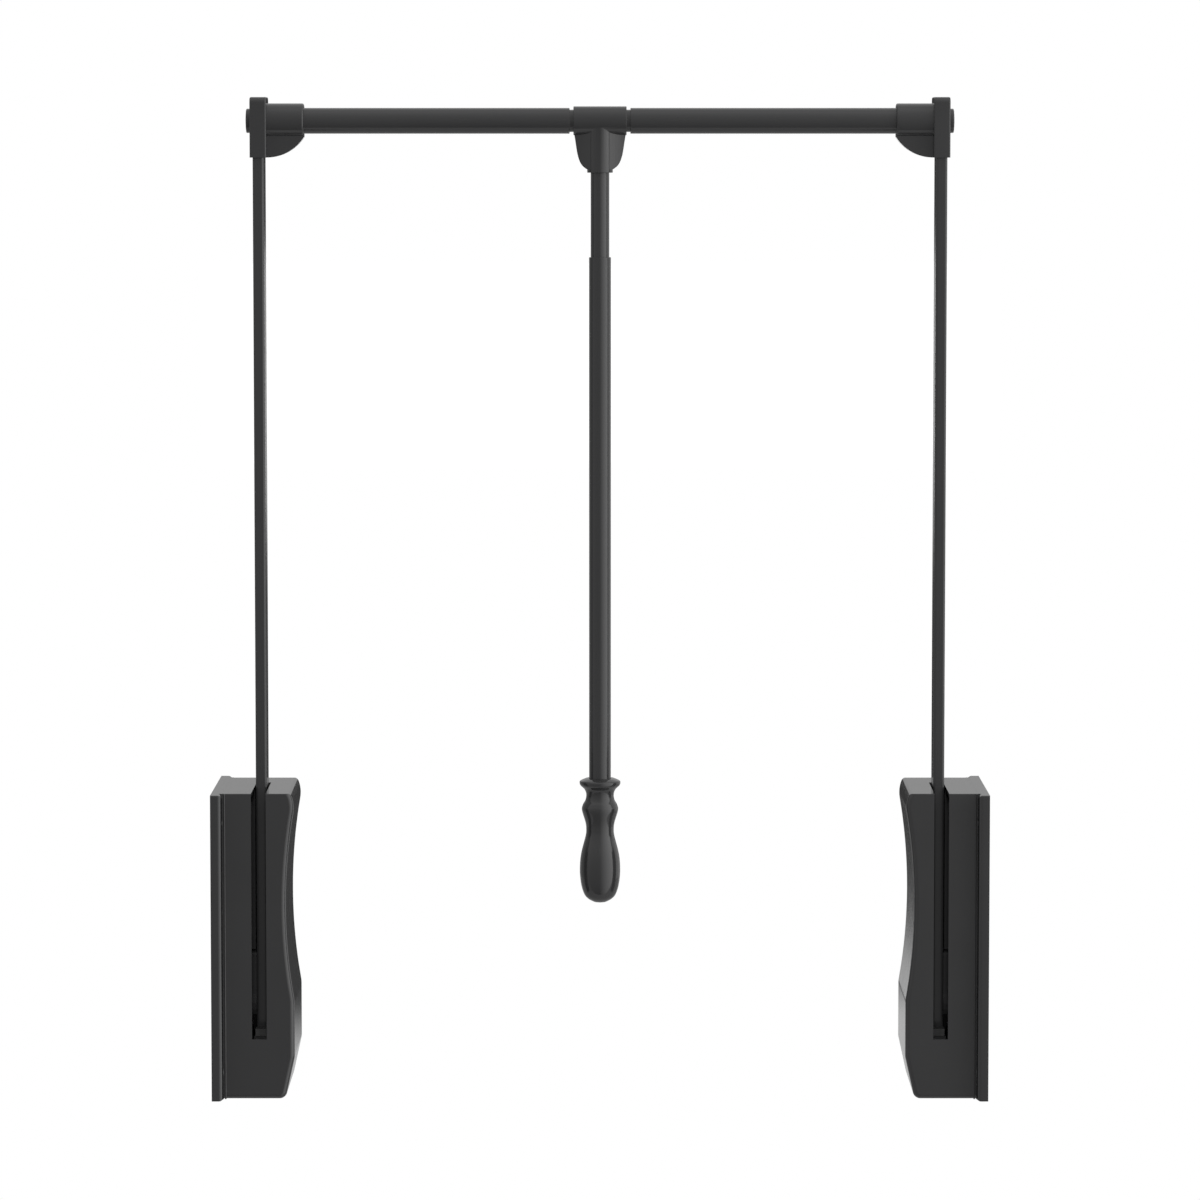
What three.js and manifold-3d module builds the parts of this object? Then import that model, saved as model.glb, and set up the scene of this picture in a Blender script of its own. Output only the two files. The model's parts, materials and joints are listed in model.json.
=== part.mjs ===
// A pull-down wardrobe rod, in millimetres, +Z up, +Y to the back of the wardrobe.
// The origin is at the middle of the width and depth, level with the lower edge of the two mounting plates.
// Both sides are alike: a piece is made once for the right side and mirrored for the left one.
import * as THREE from 'three';
import { mergeVertices } from 'three/addons/utils/BufferGeometryUtils.js';
import Module from 'manifold-3d';

const wasm = await Module();
wasm.setup();

// The whole lift
const overallWidth = 660.4;
const rodHeight = 831.2;
const liftSweep = THREE.MathUtils.degToRad(95);

// Fits and cuts
const clearance = 0.3;
const overrun = 1;
const weldTolerance = 0.0001;

// Facets
const tubeSides = 24;
const pinSides = 16;
const boltSides = 10;
const socketSides = 6;
const gripSides = 24;
const cornerSteps = 3;
const edgeSteps = 2;
const waistSteps = 6;

// Mounting plates, which are screwed to the wardrobe's side walls
const plateHeight = 262;
const plateDepth = 146;
const plateThickness = 9.6;
const plateEdgeRadius = 3.5;
const plateCornerExtra = 1;
const wallHoleRadius = 2.5;
const wallHoleHeadRadius = 4.3;
const wallHoleInset = 8.2;
const wallHoleRise = 24;
const plateBossHeight = 9;
const plateSkin = 2.2;

// Housing covers
const coverDepth = 119;
const coverReach = 59.8;
const coverWall = 3;
const coverEdgeRadius = 5;
const coverTopEdgeRadius = 1;
const coverTopCorner = 10.5;
const coverFootExtra = 1.5;
const coverHipCorner = 12;
const coverCrestCorner = 30;
const coverFootSetback = 7.9;
const hipHeight = 36;
const waistHeight = 166;
const waistSag = 7.1;
const waistRadius = 470;
const slotWidth = 12.5;
const slotFloor = 51.3;
const slotRun = 82;
const coverBossRadius = 5.5;
const coverBossLength = 28;
const coverScrewRise = 13.5;

// Screws that hold the covers and the spring seats
const screwRadius = 2;
const screwHeadRadius = 4;
const screwHeadHeight = 2.4;
const screwSocketRadius = 1.7;
const screwGrip = 18;

// Lift arms, flat-sided tubes
const armSetback = 40;
const armThickness = 9.5;
const armDepth = 30;
const armWall = 1.5;
const armCorner = 2;
const armTail = 32;
const armFootHeight = 58;
const armFootCap = 2;

// Lift pivots
const pivotHeight = 75;
const pivotRadius = 6;
const pivotEndGap = 1;
const bushWall = 1.7;
const bushFlange = 1.5;
const bushFlangeRim = 2;
const bushLength = 14;
const pivotBossWall = 4;

// Cranks, which press the balance springs
const crankRadius = 30;
const crankThickness = 4;
const crankHubWall = 4;
const crankHubRim = 3.5;
const crankPinRadius = 3;
const crankPinRim = 4;
const crankPadWidth = 22;
const crankPadHeight = 44;
const rivetRadius = 2.5;
const rivetHeadRadius = 4.2;
const rivetHeadHeight = 1.6;

// Spring struts: a slotted yoke on the crank pin, with a guide rod that carries the spring
const yokePlay = 1.1;
const yokeWall = 3.5;
const yokeThickness = 12;
const strutRadius = 3;
const strutStand = 14;
const strutCollarHeight = 3;
const seatDrop = 64;
const seatThickness = 2.7;
const seatWidth = 22;
const seatTabHeight = 26;
const seatGuideHeight = 7;
const seatGuideWall = 2.6;

// Balance springs
const wireRadius = 1.5;
const coilRadius = 7.2;
const coilCurls = 15;
const stepsPerCurl = 8;
const wireSides = 5;

// Rubber buffers
const bufferThickness = 6;
const bufferWidth = 12;
const restBufferHeight = 16;
const restBufferDrop = 28;
const ribThickness = 3.5;
const lowerBufferDepth = 12;
const lowerBufferSetback = 24;

// Rod brackets on the arms' upper ends
const capThickness = 14;
const capDepth = 36;
const capAbove = 20.1;
const capBelow = 31.1;
const capTopCorner = 4.6;
const capFootCorner = 3;
const capEdgeRadius = 1.2;
const capRoof = 4;
const socketRadius = 14.8;
const socketLength = 31.4;
const socketEndRadius = 1.5;
const socketWeb = 1.6;
const gussetRadius = 37.5;
const gussetThickness = 15;
const boltRadius = 3;
const boltHeadRadius = 6.5;
const boltHeadHeight = 2.2;
const boltLength = 32;
const boltCoverRadius = 10.3;
const boltCoverHeight = 4.2;
const boltCoverWall = 1.2;
const boltCoverCrown = 0.6;

// Rod: two outer tubes that slide over one inner tube
const outerTubeRadius = 10.92;
const outerTubeWall = 1.15;
const outerTubeStart = 25.9;
const innerTubeRadius = 9.45;
const innerTubeWall = 1.2;
const innerTubeGap = 23.25;
const rodPlugLength = 20;

// Connector between the rod and the handle, shaped like a T
const teeRadius = 12.3;
const teeWidth = 45.2;
const teeDrop = 44;
const teeBossRadius = 10.9;
const teeFinThickness = 4;
const teeShoulderReach = 8;
const teeShoulderThickness = 15;
const teeSocketDepth = 31;
const teePinRadius = 1.5;
const teePinStand = 1.2;
const teeGrooveDepth = 1.6;
const teeFlankShares = [
  [0.965, 0.27], [0.925, 0.4], [0.867, 0.595], [0.823, 0.693], [0.757, 0.79], [0.571, 0.923],
];

// Pull handle: an upper tube that slides in a lower one, and a turned grip
const handleTubeRadius = 7.9;
const handleTubeWall = 1;
const handleTubeEnd = 500;
const lowerTubeRadius = 9.3;
const lowerTubeWall = 1.1;
const lowerTubeStart = 115.9;
const lowerTubeSeat = 62;
const stopPlugLength = 14;
const stopPlugHead = 9;
const stopPlugGroove = 1.6;
const gripTop = 562.9;
const gripLength = 107.7;
const gripRadius = 17.5;
const gripFloorGap = 2;
const gripShares = [
  [0.3, 0.008], [0.58, 0.033], [0.78, 0.072], [0.93, 0.152], [0.99, 0.265], [0.93, 0.392],
  [0.71, 0.536], [0.675, 0.591], [0.714, 0.647], [0.886, 0.744], [0.834, 0.791], [0.714, 0.827],
  [0.674, 0.871], [0.76, 0.912], [0.96, 0.945], [1, 0.967], [0.96, 0.982], [0.714, 1],
];

// Places that follow from the sizes
const plateOuterX = overallWidth / 2;
const plateInnerX = plateOuterX - plateThickness;
const coverInnerX = plateInnerX - coverReach;
const armX = plateOuterX - armSetback;
const armInnerX = armX - armThickness / 2;
const armOuterX = armX + armThickness / 2;
const armFrontY = -armDepth / 2;
const armRearY = armDepth / 2;
const armTop = rodHeight + capAbove - capRoof - clearance;
const crankInnerX = armOuterX + clearance;
const crankOuterX = crankInnerX + crankThickness;
const bushRadius = pivotRadius + clearance + bushWall;
const bushSeatRadius = bushRadius + clearance;
const pivotBossRadius = bushSeatRadius + pivotBossWall;
const plateBossX = plateInnerX - plateBossHeight;
const outerFlangeX = plateBossX - clearance - bushFlange;
const crankHubEndX = outerFlangeX - clearance;
const coverPivotBossX = armInnerX - 2 * clearance - bushFlange;
const innerSeatX = coverPivotBossX - bushLength;
const outerSeatX = plateOuterX - plateSkin;
const crankAngle = liftSweep / 2;
const crankPinY = crankRadius * Math.cos(crankAngle);
const crankPinDrop = crankRadius * Math.sin(crankAngle);
const yokeY = (crankPinY + crankRadius) / 2;
const yokeSlotReach = (crankRadius - crankPinY) / 2 + crankPinRadius + clearance;
const yokeSlotRise = crankPinRadius + clearance + yokePlay;
const yokeReach = yokeSlotReach + yokeWall;
const yokeRise = yokeSlotRise + yokeWall;
const yokeRestHeight = pivotHeight - crankPinDrop;
const coilOuterRadius = coilRadius + wireRadius;
const springX = crankOuterX + clearance + coilOuterRadius;
const collarTop = yokeRestHeight + yokeRise + strutCollarHeight;
const coverScrewY = coverDepth / 2 - coverWall - coverBossRadius / 2;
const coverScrewHeights = [coverScrewRise, plateHeight - coverScrewRise];
const screwHeadX = plateOuterX - clearance;
const seatHeight = plateHeight - seatDrop;
const strutTop = seatHeight + strutStand;
const seatScrewHeight = seatHeight + seatThickness + seatTabHeight / 2;
const restBufferRise = plateHeight - restBufferDrop;
const lowerBufferFrontY = -lowerBufferSetback - lowerBufferDepth;
const armRunDown = (lowerBufferFrontY + (armDepth / 2) * Math.cos(liftSweep)) / -Math.sin(liftSweep);
const armUnderside = armRunDown * Math.cos(liftSweep) - (armDepth / 2) * Math.sin(liftSweep);
const lowerBufferTop = pivotHeight + armUnderside - clearance;
const lowerBufferFloor = lowerBufferTop - bufferThickness;
const capInnerX = armX - capThickness / 2;
const capOuterX = armX + capThickness / 2;
const pocketInnerX = armInnerX - clearance;
const socketEndX = capInnerX - socketLength;
const tubeSocketX = pocketInnerX - socketWeb;
const outerTubeEndX = tubeSocketX - clearance;
const outerTubeBore = outerTubeRadius - outerTubeWall;
const innerTubeBore = innerTubeRadius - innerTubeWall;
const innerTubeReach = outerTubeEndX - rodPlugLength - innerTubeGap;
const teeBore = innerTubeRadius + clearance;
const teeSocketTop = teeSocketDepth - teeDrop;
const lowerTubeBore = lowerTubeRadius - lowerTubeWall;
const lowerTubeEnd = gripTop + lowerTubeSeat;
const handleTubeBore = handleTubeRadius - handleTubeWall;

// Finishes
const plastic = { color: 0x3a3a3b, roughness: 0.5, metalness: 0 };
const coatedSteel = { color: 0x39393a, roughness: 0.4, metalness: 0.2 };
const steel = { color: 0x9a9c9e, roughness: 0.35, metalness: 0.9 };
const springSteel = { color: 0x55585c, roughness: 0.4, metalness: 0.9 };
const nylon = { color: 0xd8d4c8, roughness: 0.5, metalness: 0 };
const rubber = { color: 0x1c1c1d, roughness: 0.85, metalness: 0 };

// Directions across the wardrobe, to its back and up
const widthWise = new THREE.Vector3(1, 0, 0);
const depthWise = new THREE.Vector3(0, 1, 0);
const upright = new THREE.Vector3(0, 0, 1);

// A closed geometry as a solid that can be cut and joined
function solid(geometry) {
  const bare = geometry.clone();
  bare.deleteAttribute('normal');
  bare.deleteAttribute('uv');
  const merged = mergeVertices(bare, weldTolerance);
  const mesh = new wasm.Mesh({
    numProp: 3,
    vertProperties: new Float32Array(merged.attributes.position.array),
    triVerts: new Uint32Array(merged.index.array),
  });
  return new wasm.Manifold(mesh);
}

// A solid as a geometry
function geometryOf(body) {
  const mesh = body.getMesh();
  const geometry = new THREE.BufferGeometry();
  geometry.setAttribute('position', new THREE.BufferAttribute(mesh.vertProperties, 3));
  geometry.setIndex(new THREE.BufferAttribute(mesh.triVerts, 1));
  return geometry;
}

// The same geometry on the other side of the middle plane, with its faces turned outwards again
function mirrored(geometry) {
  const other = geometry.clone().scale(-1, 1, 1);
  const index = other.index.array;
  for (let i = 0; i < index.length; i += 3) {
    [index[i + 1], index[i + 2]] = [index[i + 2], index[i + 1]];
  }
  return other;
}

// Block between two opposite corners
function block([x0, y0, z0], [x1, y1, z1]) {
  const box = new THREE.BoxGeometry(x1 - x0, y1 - y0, z1 - z0);
  box.translate((x0 + x1) / 2, (y0 + y1) / 2, (z0 + z1) / 2);
  return solid(box);
}

// Solid of revolution about an axis along X, Y or Z, from a profile of [radius, distance along the axis]
function turned(profile, axis, sides, [x, y, z] = [0, 0, 0]) {
  const lathe = new THREE.LatheGeometry(profile.map(([r, d]) => new THREE.Vector2(r, d)), sides);
  const towards = { X: widthWise, Y: depthWise, Z: upright }[axis];
  lathe.applyQuaternion(new THREE.Quaternion().setFromUnitVectors(depthWise, towards));
  lathe.translate(x, y, z);
  return solid(lathe);
}

// Round bar between two places along an axis
function bar(radius, from, to, axis, sides = tubeSides, centre = [0, 0, 0]) {
  return turned([[0, from], [radius, from], [radius, to], [0, to]], axis, sides, centre);
}

// Round tube between two places along an axis
function tube(radius, bore, from, to, axis) {
  return turned([[bore, from], [radius, from], [radius, to], [bore, to], [bore, from]], axis, tubeSides);
}

// Outline through corners of [x, y, radius], anticlockwise, with an arc at each corner that has a radius
function outline(corners) {
  const points = [];
  corners.forEach(([x, y, radius], i) => {
    const corner = new THREE.Vector2(x, y);
    if (!radius) {
      points.push(corner);
      return;
    }
    const before = corners[(i + corners.length - 1) % corners.length];
    const after = corners[(i + 1) % corners.length];
    const back = new THREE.Vector2(before[0] - x, before[1] - y).normalize();
    const ahead = new THREE.Vector2(after[0] - x, after[1] - y).normalize();
    const half = Math.acos(back.dot(ahead)) / 2;
    const start = corner.clone().addScaledVector(back, radius / Math.tan(half));
    const end = corner.clone().addScaledVector(ahead, radius / Math.tan(half));
    const middle = back.clone().add(ahead).normalize();
    const centre = corner.clone().addScaledVector(middle, radius / Math.sin(half));
    const first = start.sub(centre);
    const turn = Math.atan2(first.cross(end.sub(centre)), first.dot(end));
    for (let step = 0; step <= cornerSteps; step += 1) {
      const spoke = first.clone().rotateAround(new THREE.Vector2(), (turn * step) / cornerSteps);
      points.push(centre.clone().add(spoke));
    }
  });
  return new THREE.Shape(points);
}

// Rounded rectangle
function rectangle(x0, y0, x1, y1, radius = 0) {
  return outline([[x0, y0, radius], [x1, y0, radius], [x1, y1, radius], [x0, y1, radius]]);
}

// Extrusion of an outline, with its end edges rounded where an edge radius is given
function extruded(shape, length, edge, place) {
  const body = new THREE.ExtrudeGeometry(shape, {
    depth: length - 2 * edge,
    bevelEnabled: edge > 0,
    bevelThickness: edge,
    bevelSize: edge,
    bevelOffset: -edge,
    bevelSegments: edgeSteps,
  });
  body.translate(0, 0, edge);
  return solid(body.applyMatrix4(place));
}

// Outline in Y and Z, extruded along X
function alongX(shape, from, to, edge = 0) {
  const place = new THREE.Matrix4().makeBasis(depthWise, upright, widthWise).setPosition(from, 0, 0);
  return extruded(shape, to - from, edge, place);
}

// Outline in X and Z, extruded along Y
function alongY(shape, from, to, edge = 0) {
  const place = new THREE.Matrix4().makeBasis(widthWise, upright, depthWise.clone().negate());
  return extruded(shape, to - from, edge, place.setPosition(0, to, 0));
}

// Outline in X and Y, extruded along Z
function alongZ(shape, from, to) {
  const place = new THREE.Matrix4().makeTranslation(0, 0, from);
  return extruded(shape, to - from, 0, place);
}

// Everything in a list joined into one solid
function joined(bodies) {
  return bodies.reduce((all, body) => all.add(body));
}

// A solid with every body in a list cut out of it
function cut(body, tools) {
  return tools.reduce((rest, tool) => rest.subtract(tool), body);
}

// Countersunk screw body along X, grown by a gap all round and run on past its head's face
function screwBody(headX, y, z, gap, past) {
  const tip = headX - screwGrip - gap;
  const end = headX + past;
  const neck = screwRadius + gap;
  const head = screwHeadRadius + gap + past;
  const profile = [[0, tip], [neck, tip], [neck, headX - screwHeadHeight], [head, end], [0, end]];
  return turned(profile, 'X', boltSides, [0, y, z]);
}

function screw(headX, y, z) {
  const depth = headX - screwHeadHeight / 2;
  const socket = bar(screwSocketRadius, depth, headX + overrun, 'X', socketSides, [0, y, z]);
  return screwBody(headX, y, z, 0, 0).subtract(socket);
}

function screwHole(headX, y, z) {
  return screwBody(headX, y, z, clearance, overrun);
}

// Mounting plate: a flange round the housing, screwed to the wall through its front and rear strips
function mountingPlate() {
  const corner = plateEdgeRadius + plateCornerExtra;
  const face = rectangle(-plateDepth / 2, 0, plateDepth / 2, plateHeight, corner);
  const slab = alongX(face, plateInnerX, plateOuterX + plateEdgeRadius + overrun, plateEdgeRadius);
  const wallSide = block(
    [plateOuterX, -plateDepth, -plateHeight],
    [plateOuterX + plateDepth, plateDepth, 2 * plateHeight],
  );
  const boss = bar(pivotBossRadius, plateBossX, plateInnerX + overrun, 'X', pinSides, [0, 0, pivotHeight]);
  const tools = [bar(bushSeatRadius, plateBossX - overrun, outerSeatX, 'X', pinSides, [0, 0, pivotHeight])];
  for (const side of [-1, 1]) {
    for (const height of [wallHoleRise, plateHeight - wallHoleRise]) {
      const sink = [
        [0, plateInnerX - overrun], [wallHoleHeadRadius + overrun, plateInnerX - overrun],
        [wallHoleRadius, plateInnerX + wallHoleHeadRadius - wallHoleRadius],
        [wallHoleRadius, plateOuterX + overrun], [0, plateOuterX + overrun],
      ];
      tools.push(turned(sink, 'X', boltSides, [0, side * (plateDepth / 2 - wallHoleInset), height]));
    }
    for (const height of coverScrewHeights) {
      tools.push(screwHole(screwHeadX, side * coverScrewY, height));
    }
  }
  tools.push(screwHole(screwHeadX, yokeY, seatScrewHeight));
  return cut(slab.subtract(wallSide).add(boss), tools);
}

// Front view of a housing cover, drawn in by a wall where an inset is given, raised at its top by a rise,
// and running on past the plate's face
function coverOutline(inset, outerX, rise = 0) {
  const reach = waistRadius + inset;
  const waistX = coverInnerX + waistSag - waistRadius;
  const straightX = coverInnerX + inset;
  const top = plateHeight - inset + rise;
  const footX = coverInnerX + coverFootSetback + inset;
  const crestDrop = Math.sqrt(reach * reach - (straightX - waistX) * (straightX - waistX));
  const first = -Math.asin(crestDrop / reach);
  const last = Math.asin((top - waistHeight) / reach);
  const waist = [];
  for (let step = 0; step <= waistSteps; step += 1) {
    const angle = first + ((last - first) * step) / waistSteps;
    waist.push([waistX + reach * Math.cos(angle), waistHeight + reach * Math.sin(angle), 0]);
  }
  waist[0][2] = coverCrestCorner;
  waist[waistSteps][2] = Math.max(coverTopCorner - inset, inset);
  const foot = [footX, inset, coverEdgeRadius + coverFootExtra];
  const hip = [straightX, hipHeight, coverHipCorner];
  return outline([[outerX, top, 0], ...waist.reverse(), hip, foot, [outerX, inset, 0]]);
}

// Housing cover: a shell open to the plate, slotted at the front and top for the arm
function housingCover() {
  const edge = coverEdgeRadius + overrun;
  const rearY = coverDepth / 2;
  const innerRearY = rearY - coverWall;
  const rise = coverTopCorner + coverEdgeRadius;
  const rounded = alongY(coverOutline(0, plateInnerX + edge, rise), -rearY, rearY, coverEdgeRadius);
  const topped = alongY(coverOutline(0, plateInnerX + edge), -rearY, rearY, coverTopEdgeRadius);
  const outside = rounded.intersect(topped).intersect(
    block([0, -plateDepth, -overrun], [plateInnerX - clearance, plateDepth, plateHeight + overrun]),
  );
  const hollowEdge = Math.max(coverEdgeRadius - coverWall, clearance);
  const hollow = alongY(coverOutline(coverWall, plateInnerX + edge), -innerRearY, innerRearY, hollowEdge);
  const ribEndX = armX + bufferWidth / 2;
  const restRibY = armRearY + clearance + bufferThickness + clearance;
  const inside = [
    bar(pivotBossRadius, coverInnerX, coverPivotBossX, 'X', pinSides, [0, 0, pivotHeight]),
    block(
      [coverInnerX - waistSag, restRibY, restBufferRise - ribThickness],
      [ribEndX, restRibY + ribThickness, restBufferRise + restBufferHeight + ribThickness],
    ),
    block(
      [coverInnerX - waistSag, lowerBufferFrontY, lowerBufferFloor - clearance - ribThickness],
      [ribEndX, lowerBufferFrontY + lowerBufferDepth, lowerBufferFloor - clearance],
    ),
  ];
  const tools = [
    bar(bushSeatRadius, innerSeatX, coverPivotBossX + overrun, 'X', pinSides, [0, 0, pivotHeight]),
    block(
      [armX - slotWidth / 2, -rearY - overrun, slotFloor],
      [armX + slotWidth / 2, slotRun - rearY, plateHeight + overrun],
    ),
  ];
  const bossEndX = plateInnerX - clearance;
  for (const y of [-coverScrewY, coverScrewY]) {
    for (const height of coverScrewHeights) {
      inside.push(bar(coverBossRadius, bossEndX - coverBossLength, bossEndX, 'X', boltSides, [0, y, height]));
      tools.push(screwHole(screwHeadX, y, height));
    }
  }
  return cut(outside.subtract(hollow).add(joined(inside).intersect(outside)), tools);
}

// Plain shaft, caught between the two blind seats
function pivotShaft() {
  const from = innerSeatX + pivotEndGap;
  return bar(pivotRadius, from, outerSeatX - pivotEndGap, 'X', pinSides, [0, 0, pivotHeight]);
}

// Flanged bush whose flange faces one way along X: 1 outwards, -1 inwards
function pivotBush(flangeX, facing) {
  const rim = bushRadius + bushFlangeRim;
  const bore = pivotRadius + clearance;
  const shoulder = flangeX - facing * bushFlange;
  const end = shoulder - facing * (bushLength - bushFlange);
  const profile = [[bore, end], [bushRadius, end], [bushRadius, shoulder], [rim, shoulder], [rim, flangeX]];
  profile.push([bore, flangeX], [bore, end]);
  const ordered = facing > 0 ? profile : profile.reverse();
  return turned(ordered, 'X', pinSides, [0, 0, pivotHeight]);
}

// Arm: a flat-sided tube, with holes for the pivot, the crank's rivet and the bracket's bolt
function armTube() {
  const shape = rectangle(armInnerX, armFrontY, armOuterX, armRearY, armCorner);
  const hollow = rectangle(armInnerX + armWall, armFrontY + armWall, armOuterX - armWall, armRearY - armWall);
  shape.holes.push(hollow);
  const foot = armFootCap + clearance - armTail;
  return cut(alongZ(shape, foot, armTop - pivotHeight), [
    acrossArm(pivotRadius + clearance, 0),
    acrossArm(rivetRadius + clearance, crankPadHeight - crankPadWidth / 2),
    acrossArm(boltRadius + clearance, rodHeight - pivotHeight),
  ]);
}

// Round cutter that passes through an arm at a height above its pivot
function acrossArm(radius, height) {
  return bar(radius, armInnerX - overrun, armOuterX + overrun, 'X', pinSides, [0, 0, height]);
}

// Steel block that fills the arm's lower end and closes it
function armFoot() {
  const inset = armWall + clearance;
  const core = rectangle(armInnerX + inset, armFrontY + inset, armOuterX - inset, armRearY - inset);
  const cap = rectangle(armInnerX, armFrontY, armOuterX, armRearY, armCorner);
  const plug = alongZ(core, -armTail, armFootHeight - armTail);
  return cut(plug.add(alongZ(cap, -armTail, armFootCap - armTail)), [
    acrossArm(pivotRadius + clearance, 0),
    acrossArm(rivetRadius + clearance, crankPadHeight - crankPadWidth / 2),
  ]);
}

// Crank welded and riveted to the arm's outer side, with a hub on the pivot and an eye for the crank pin
function crankLever() {
  const hubRadius = pivotRadius + clearance + crankHubWall;
  const eye = crankPinRadius + crankPinRim;
  const hubRim = hubRadius + crankHubRim;
  const along = new THREE.Vector2(crankPinY, -crankPinDrop).normalize();
  const across = new THREE.Vector2(-along.y, along.x);
  const corner = (radius, side, run) => [
    along.x * run + across.x * radius * side,
    along.y * run + across.y * radius * side,
    0,
  ];
  const web = outline([
    corner(hubRim, -1, 0), corner(eye, -1, crankRadius), corner(eye, 1, crankRadius), corner(hubRim, 1, 0),
  ]);
  const pad = rectangle(-crankPadWidth / 2, 0, crankPadWidth / 2, crankPadHeight, armCorner);
  const centre = [0, crankPinY, -crankPinDrop];
  const body = joined([
    alongX(web, crankInnerX, crankOuterX),
    alongX(pad, crankInnerX, crankOuterX),
    bar(hubRim, crankInnerX, crankOuterX, 'X', pinSides),
    bar(hubRadius, crankInnerX, crankHubEndX, 'X', pinSides),
    bar(eye, crankInnerX, crankOuterX, 'X', pinSides, centre),
  ]);
  return cut(body, [
    bar(pivotRadius + clearance, crankInnerX - overrun, crankHubEndX + overrun, 'X', pinSides),
    bar(crankPinRadius + clearance, crankInnerX - overrun, crankOuterX + overrun, 'X', pinSides, centre),
    bar(
      rivetRadius + clearance, crankInnerX - overrun, crankOuterX + overrun, 'X', pinSides,
      [0, 0, crankPadHeight - crankPadWidth / 2],
    ),
  ]);
}

// Rivet through the crank, the arm and the block inside it
function crankRivet() {
  const from = armInnerX - clearance;
  const to = crankOuterX + clearance;
  const profile = [
    [0, from - rivetHeadHeight], [rivetHeadRadius - rivetHeadHeight, from - rivetHeadHeight],
    [rivetHeadRadius, from], [rivetRadius, from], [rivetRadius, to], [rivetHeadRadius, to],
    [rivetHeadRadius - rivetHeadHeight, to + rivetHeadHeight], [0, to + rivetHeadHeight],
  ];
  return turned(profile, 'X', boltSides, [0, 0, crankPadHeight - crankPadWidth / 2]);
}

// Pin in the crank's eye, which runs in the yoke's slot
function crankPin() {
  const to = springX + yokeThickness / 2;
  return bar(crankPinRadius, crankInnerX, to, 'X', pinSides, [0, crankPinY, -crankPinDrop]);
}

// Strut: a yoke with a level slot, a collar under the spring, and a guide rod up through it
function springStrut() {
  const low = yokeRestHeight - yokeRise;
  const high = yokeRestHeight + yokeRise;
  const slotRound = yokeSlotRise - clearance;
  const face = rectangle(yokeY - yokeReach, low, yokeY + yokeReach, high, yokeWall);
  const slot = rectangle(
    yokeY - yokeSlotReach, yokeRestHeight - yokeSlotRise,
    yokeY + yokeSlotReach, yokeRestHeight + yokeSlotRise, Math.min(slotRound, yokeSlotReach - clearance),
  );
  face.holes.push(slot);
  return joined([
    alongX(face, springX - yokeThickness / 2, springX + yokeThickness / 2),
    turned(
      [
        [0, high - yokeWall / 2], [strutRadius, high - yokeWall / 2], [strutRadius, high],
        [coilOuterRadius, high], [coilOuterRadius, collarTop], [strutRadius, collarTop],
        [strutRadius, strutTop], [0, strutTop],
      ],
      'Z', pinSides, [springX, yokeY, 0],
    ),
  ]);
}

// Spring seat: a steel angle on the mounting plate, with a guide sleeve for the strut's rod
function springSeat() {
  const innerX = springX - coilOuterRadius;
  const outerX = plateInnerX - clearance;
  const low = seatHeight;
  const high = seatHeight + seatThickness;
  const body = joined([
    block([innerX, yokeY - seatWidth / 2, low], [outerX, yokeY + seatWidth / 2, high]),
    block(
      [outerX - seatThickness, yokeY - seatWidth / 2, low],
      [outerX, yokeY + seatWidth / 2, high + seatTabHeight],
    ),
    bar(
      strutRadius + clearance + seatGuideWall, low, high + seatGuideHeight, 'Z', pinSides,
      [springX, yokeY, 0],
    ),
  ]);
  return cut(body, [
    bar(
      strutRadius + clearance, low - overrun, high + seatGuideHeight + overrun, 'Z', pinSides,
      [springX, yokeY, 0],
    ),
    screwHole(screwHeadX, yokeY, seatScrewHeight),
  ]);
}

// Middle line of a balance spring: a steady helix whose ends run straight down and up to their seats
function springLine() {
  const bottom = collarTop + clearance;
  const top = seatHeight - clearance;
  const lead = 2 * wireRadius;
  const steps = coilCurls * stepsPerCurl;
  const points = [new THREE.Vector3(springX + coilRadius, yokeY, bottom)];
  for (let step = 0; step <= steps; step += 1) {
    const angle = (2 * Math.PI * step) / stepsPerCurl;
    const height = bottom + lead + ((top - bottom - 2 * lead) * step) / steps;
    points.push(new THREE.Vector3(
      springX + coilRadius * Math.cos(angle), yokeY + coilRadius * Math.sin(angle), height,
    ));
  }
  points.push(new THREE.Vector3(springX + coilRadius, yokeY, top));
  return points;
}

// Least gap between stretches of a wound wire that are half a curl or more apart along it
function leastGap(points, apart, radius) {
  let least = Infinity;
  for (let i = 0; i < points.length; i += 1) {
    for (let j = i + apart; j < points.length; j += 1) {
      least = Math.min(least, points[i].distanceTo(points[j]) - 2 * radius);
    }
  }
  return least;
}

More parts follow.
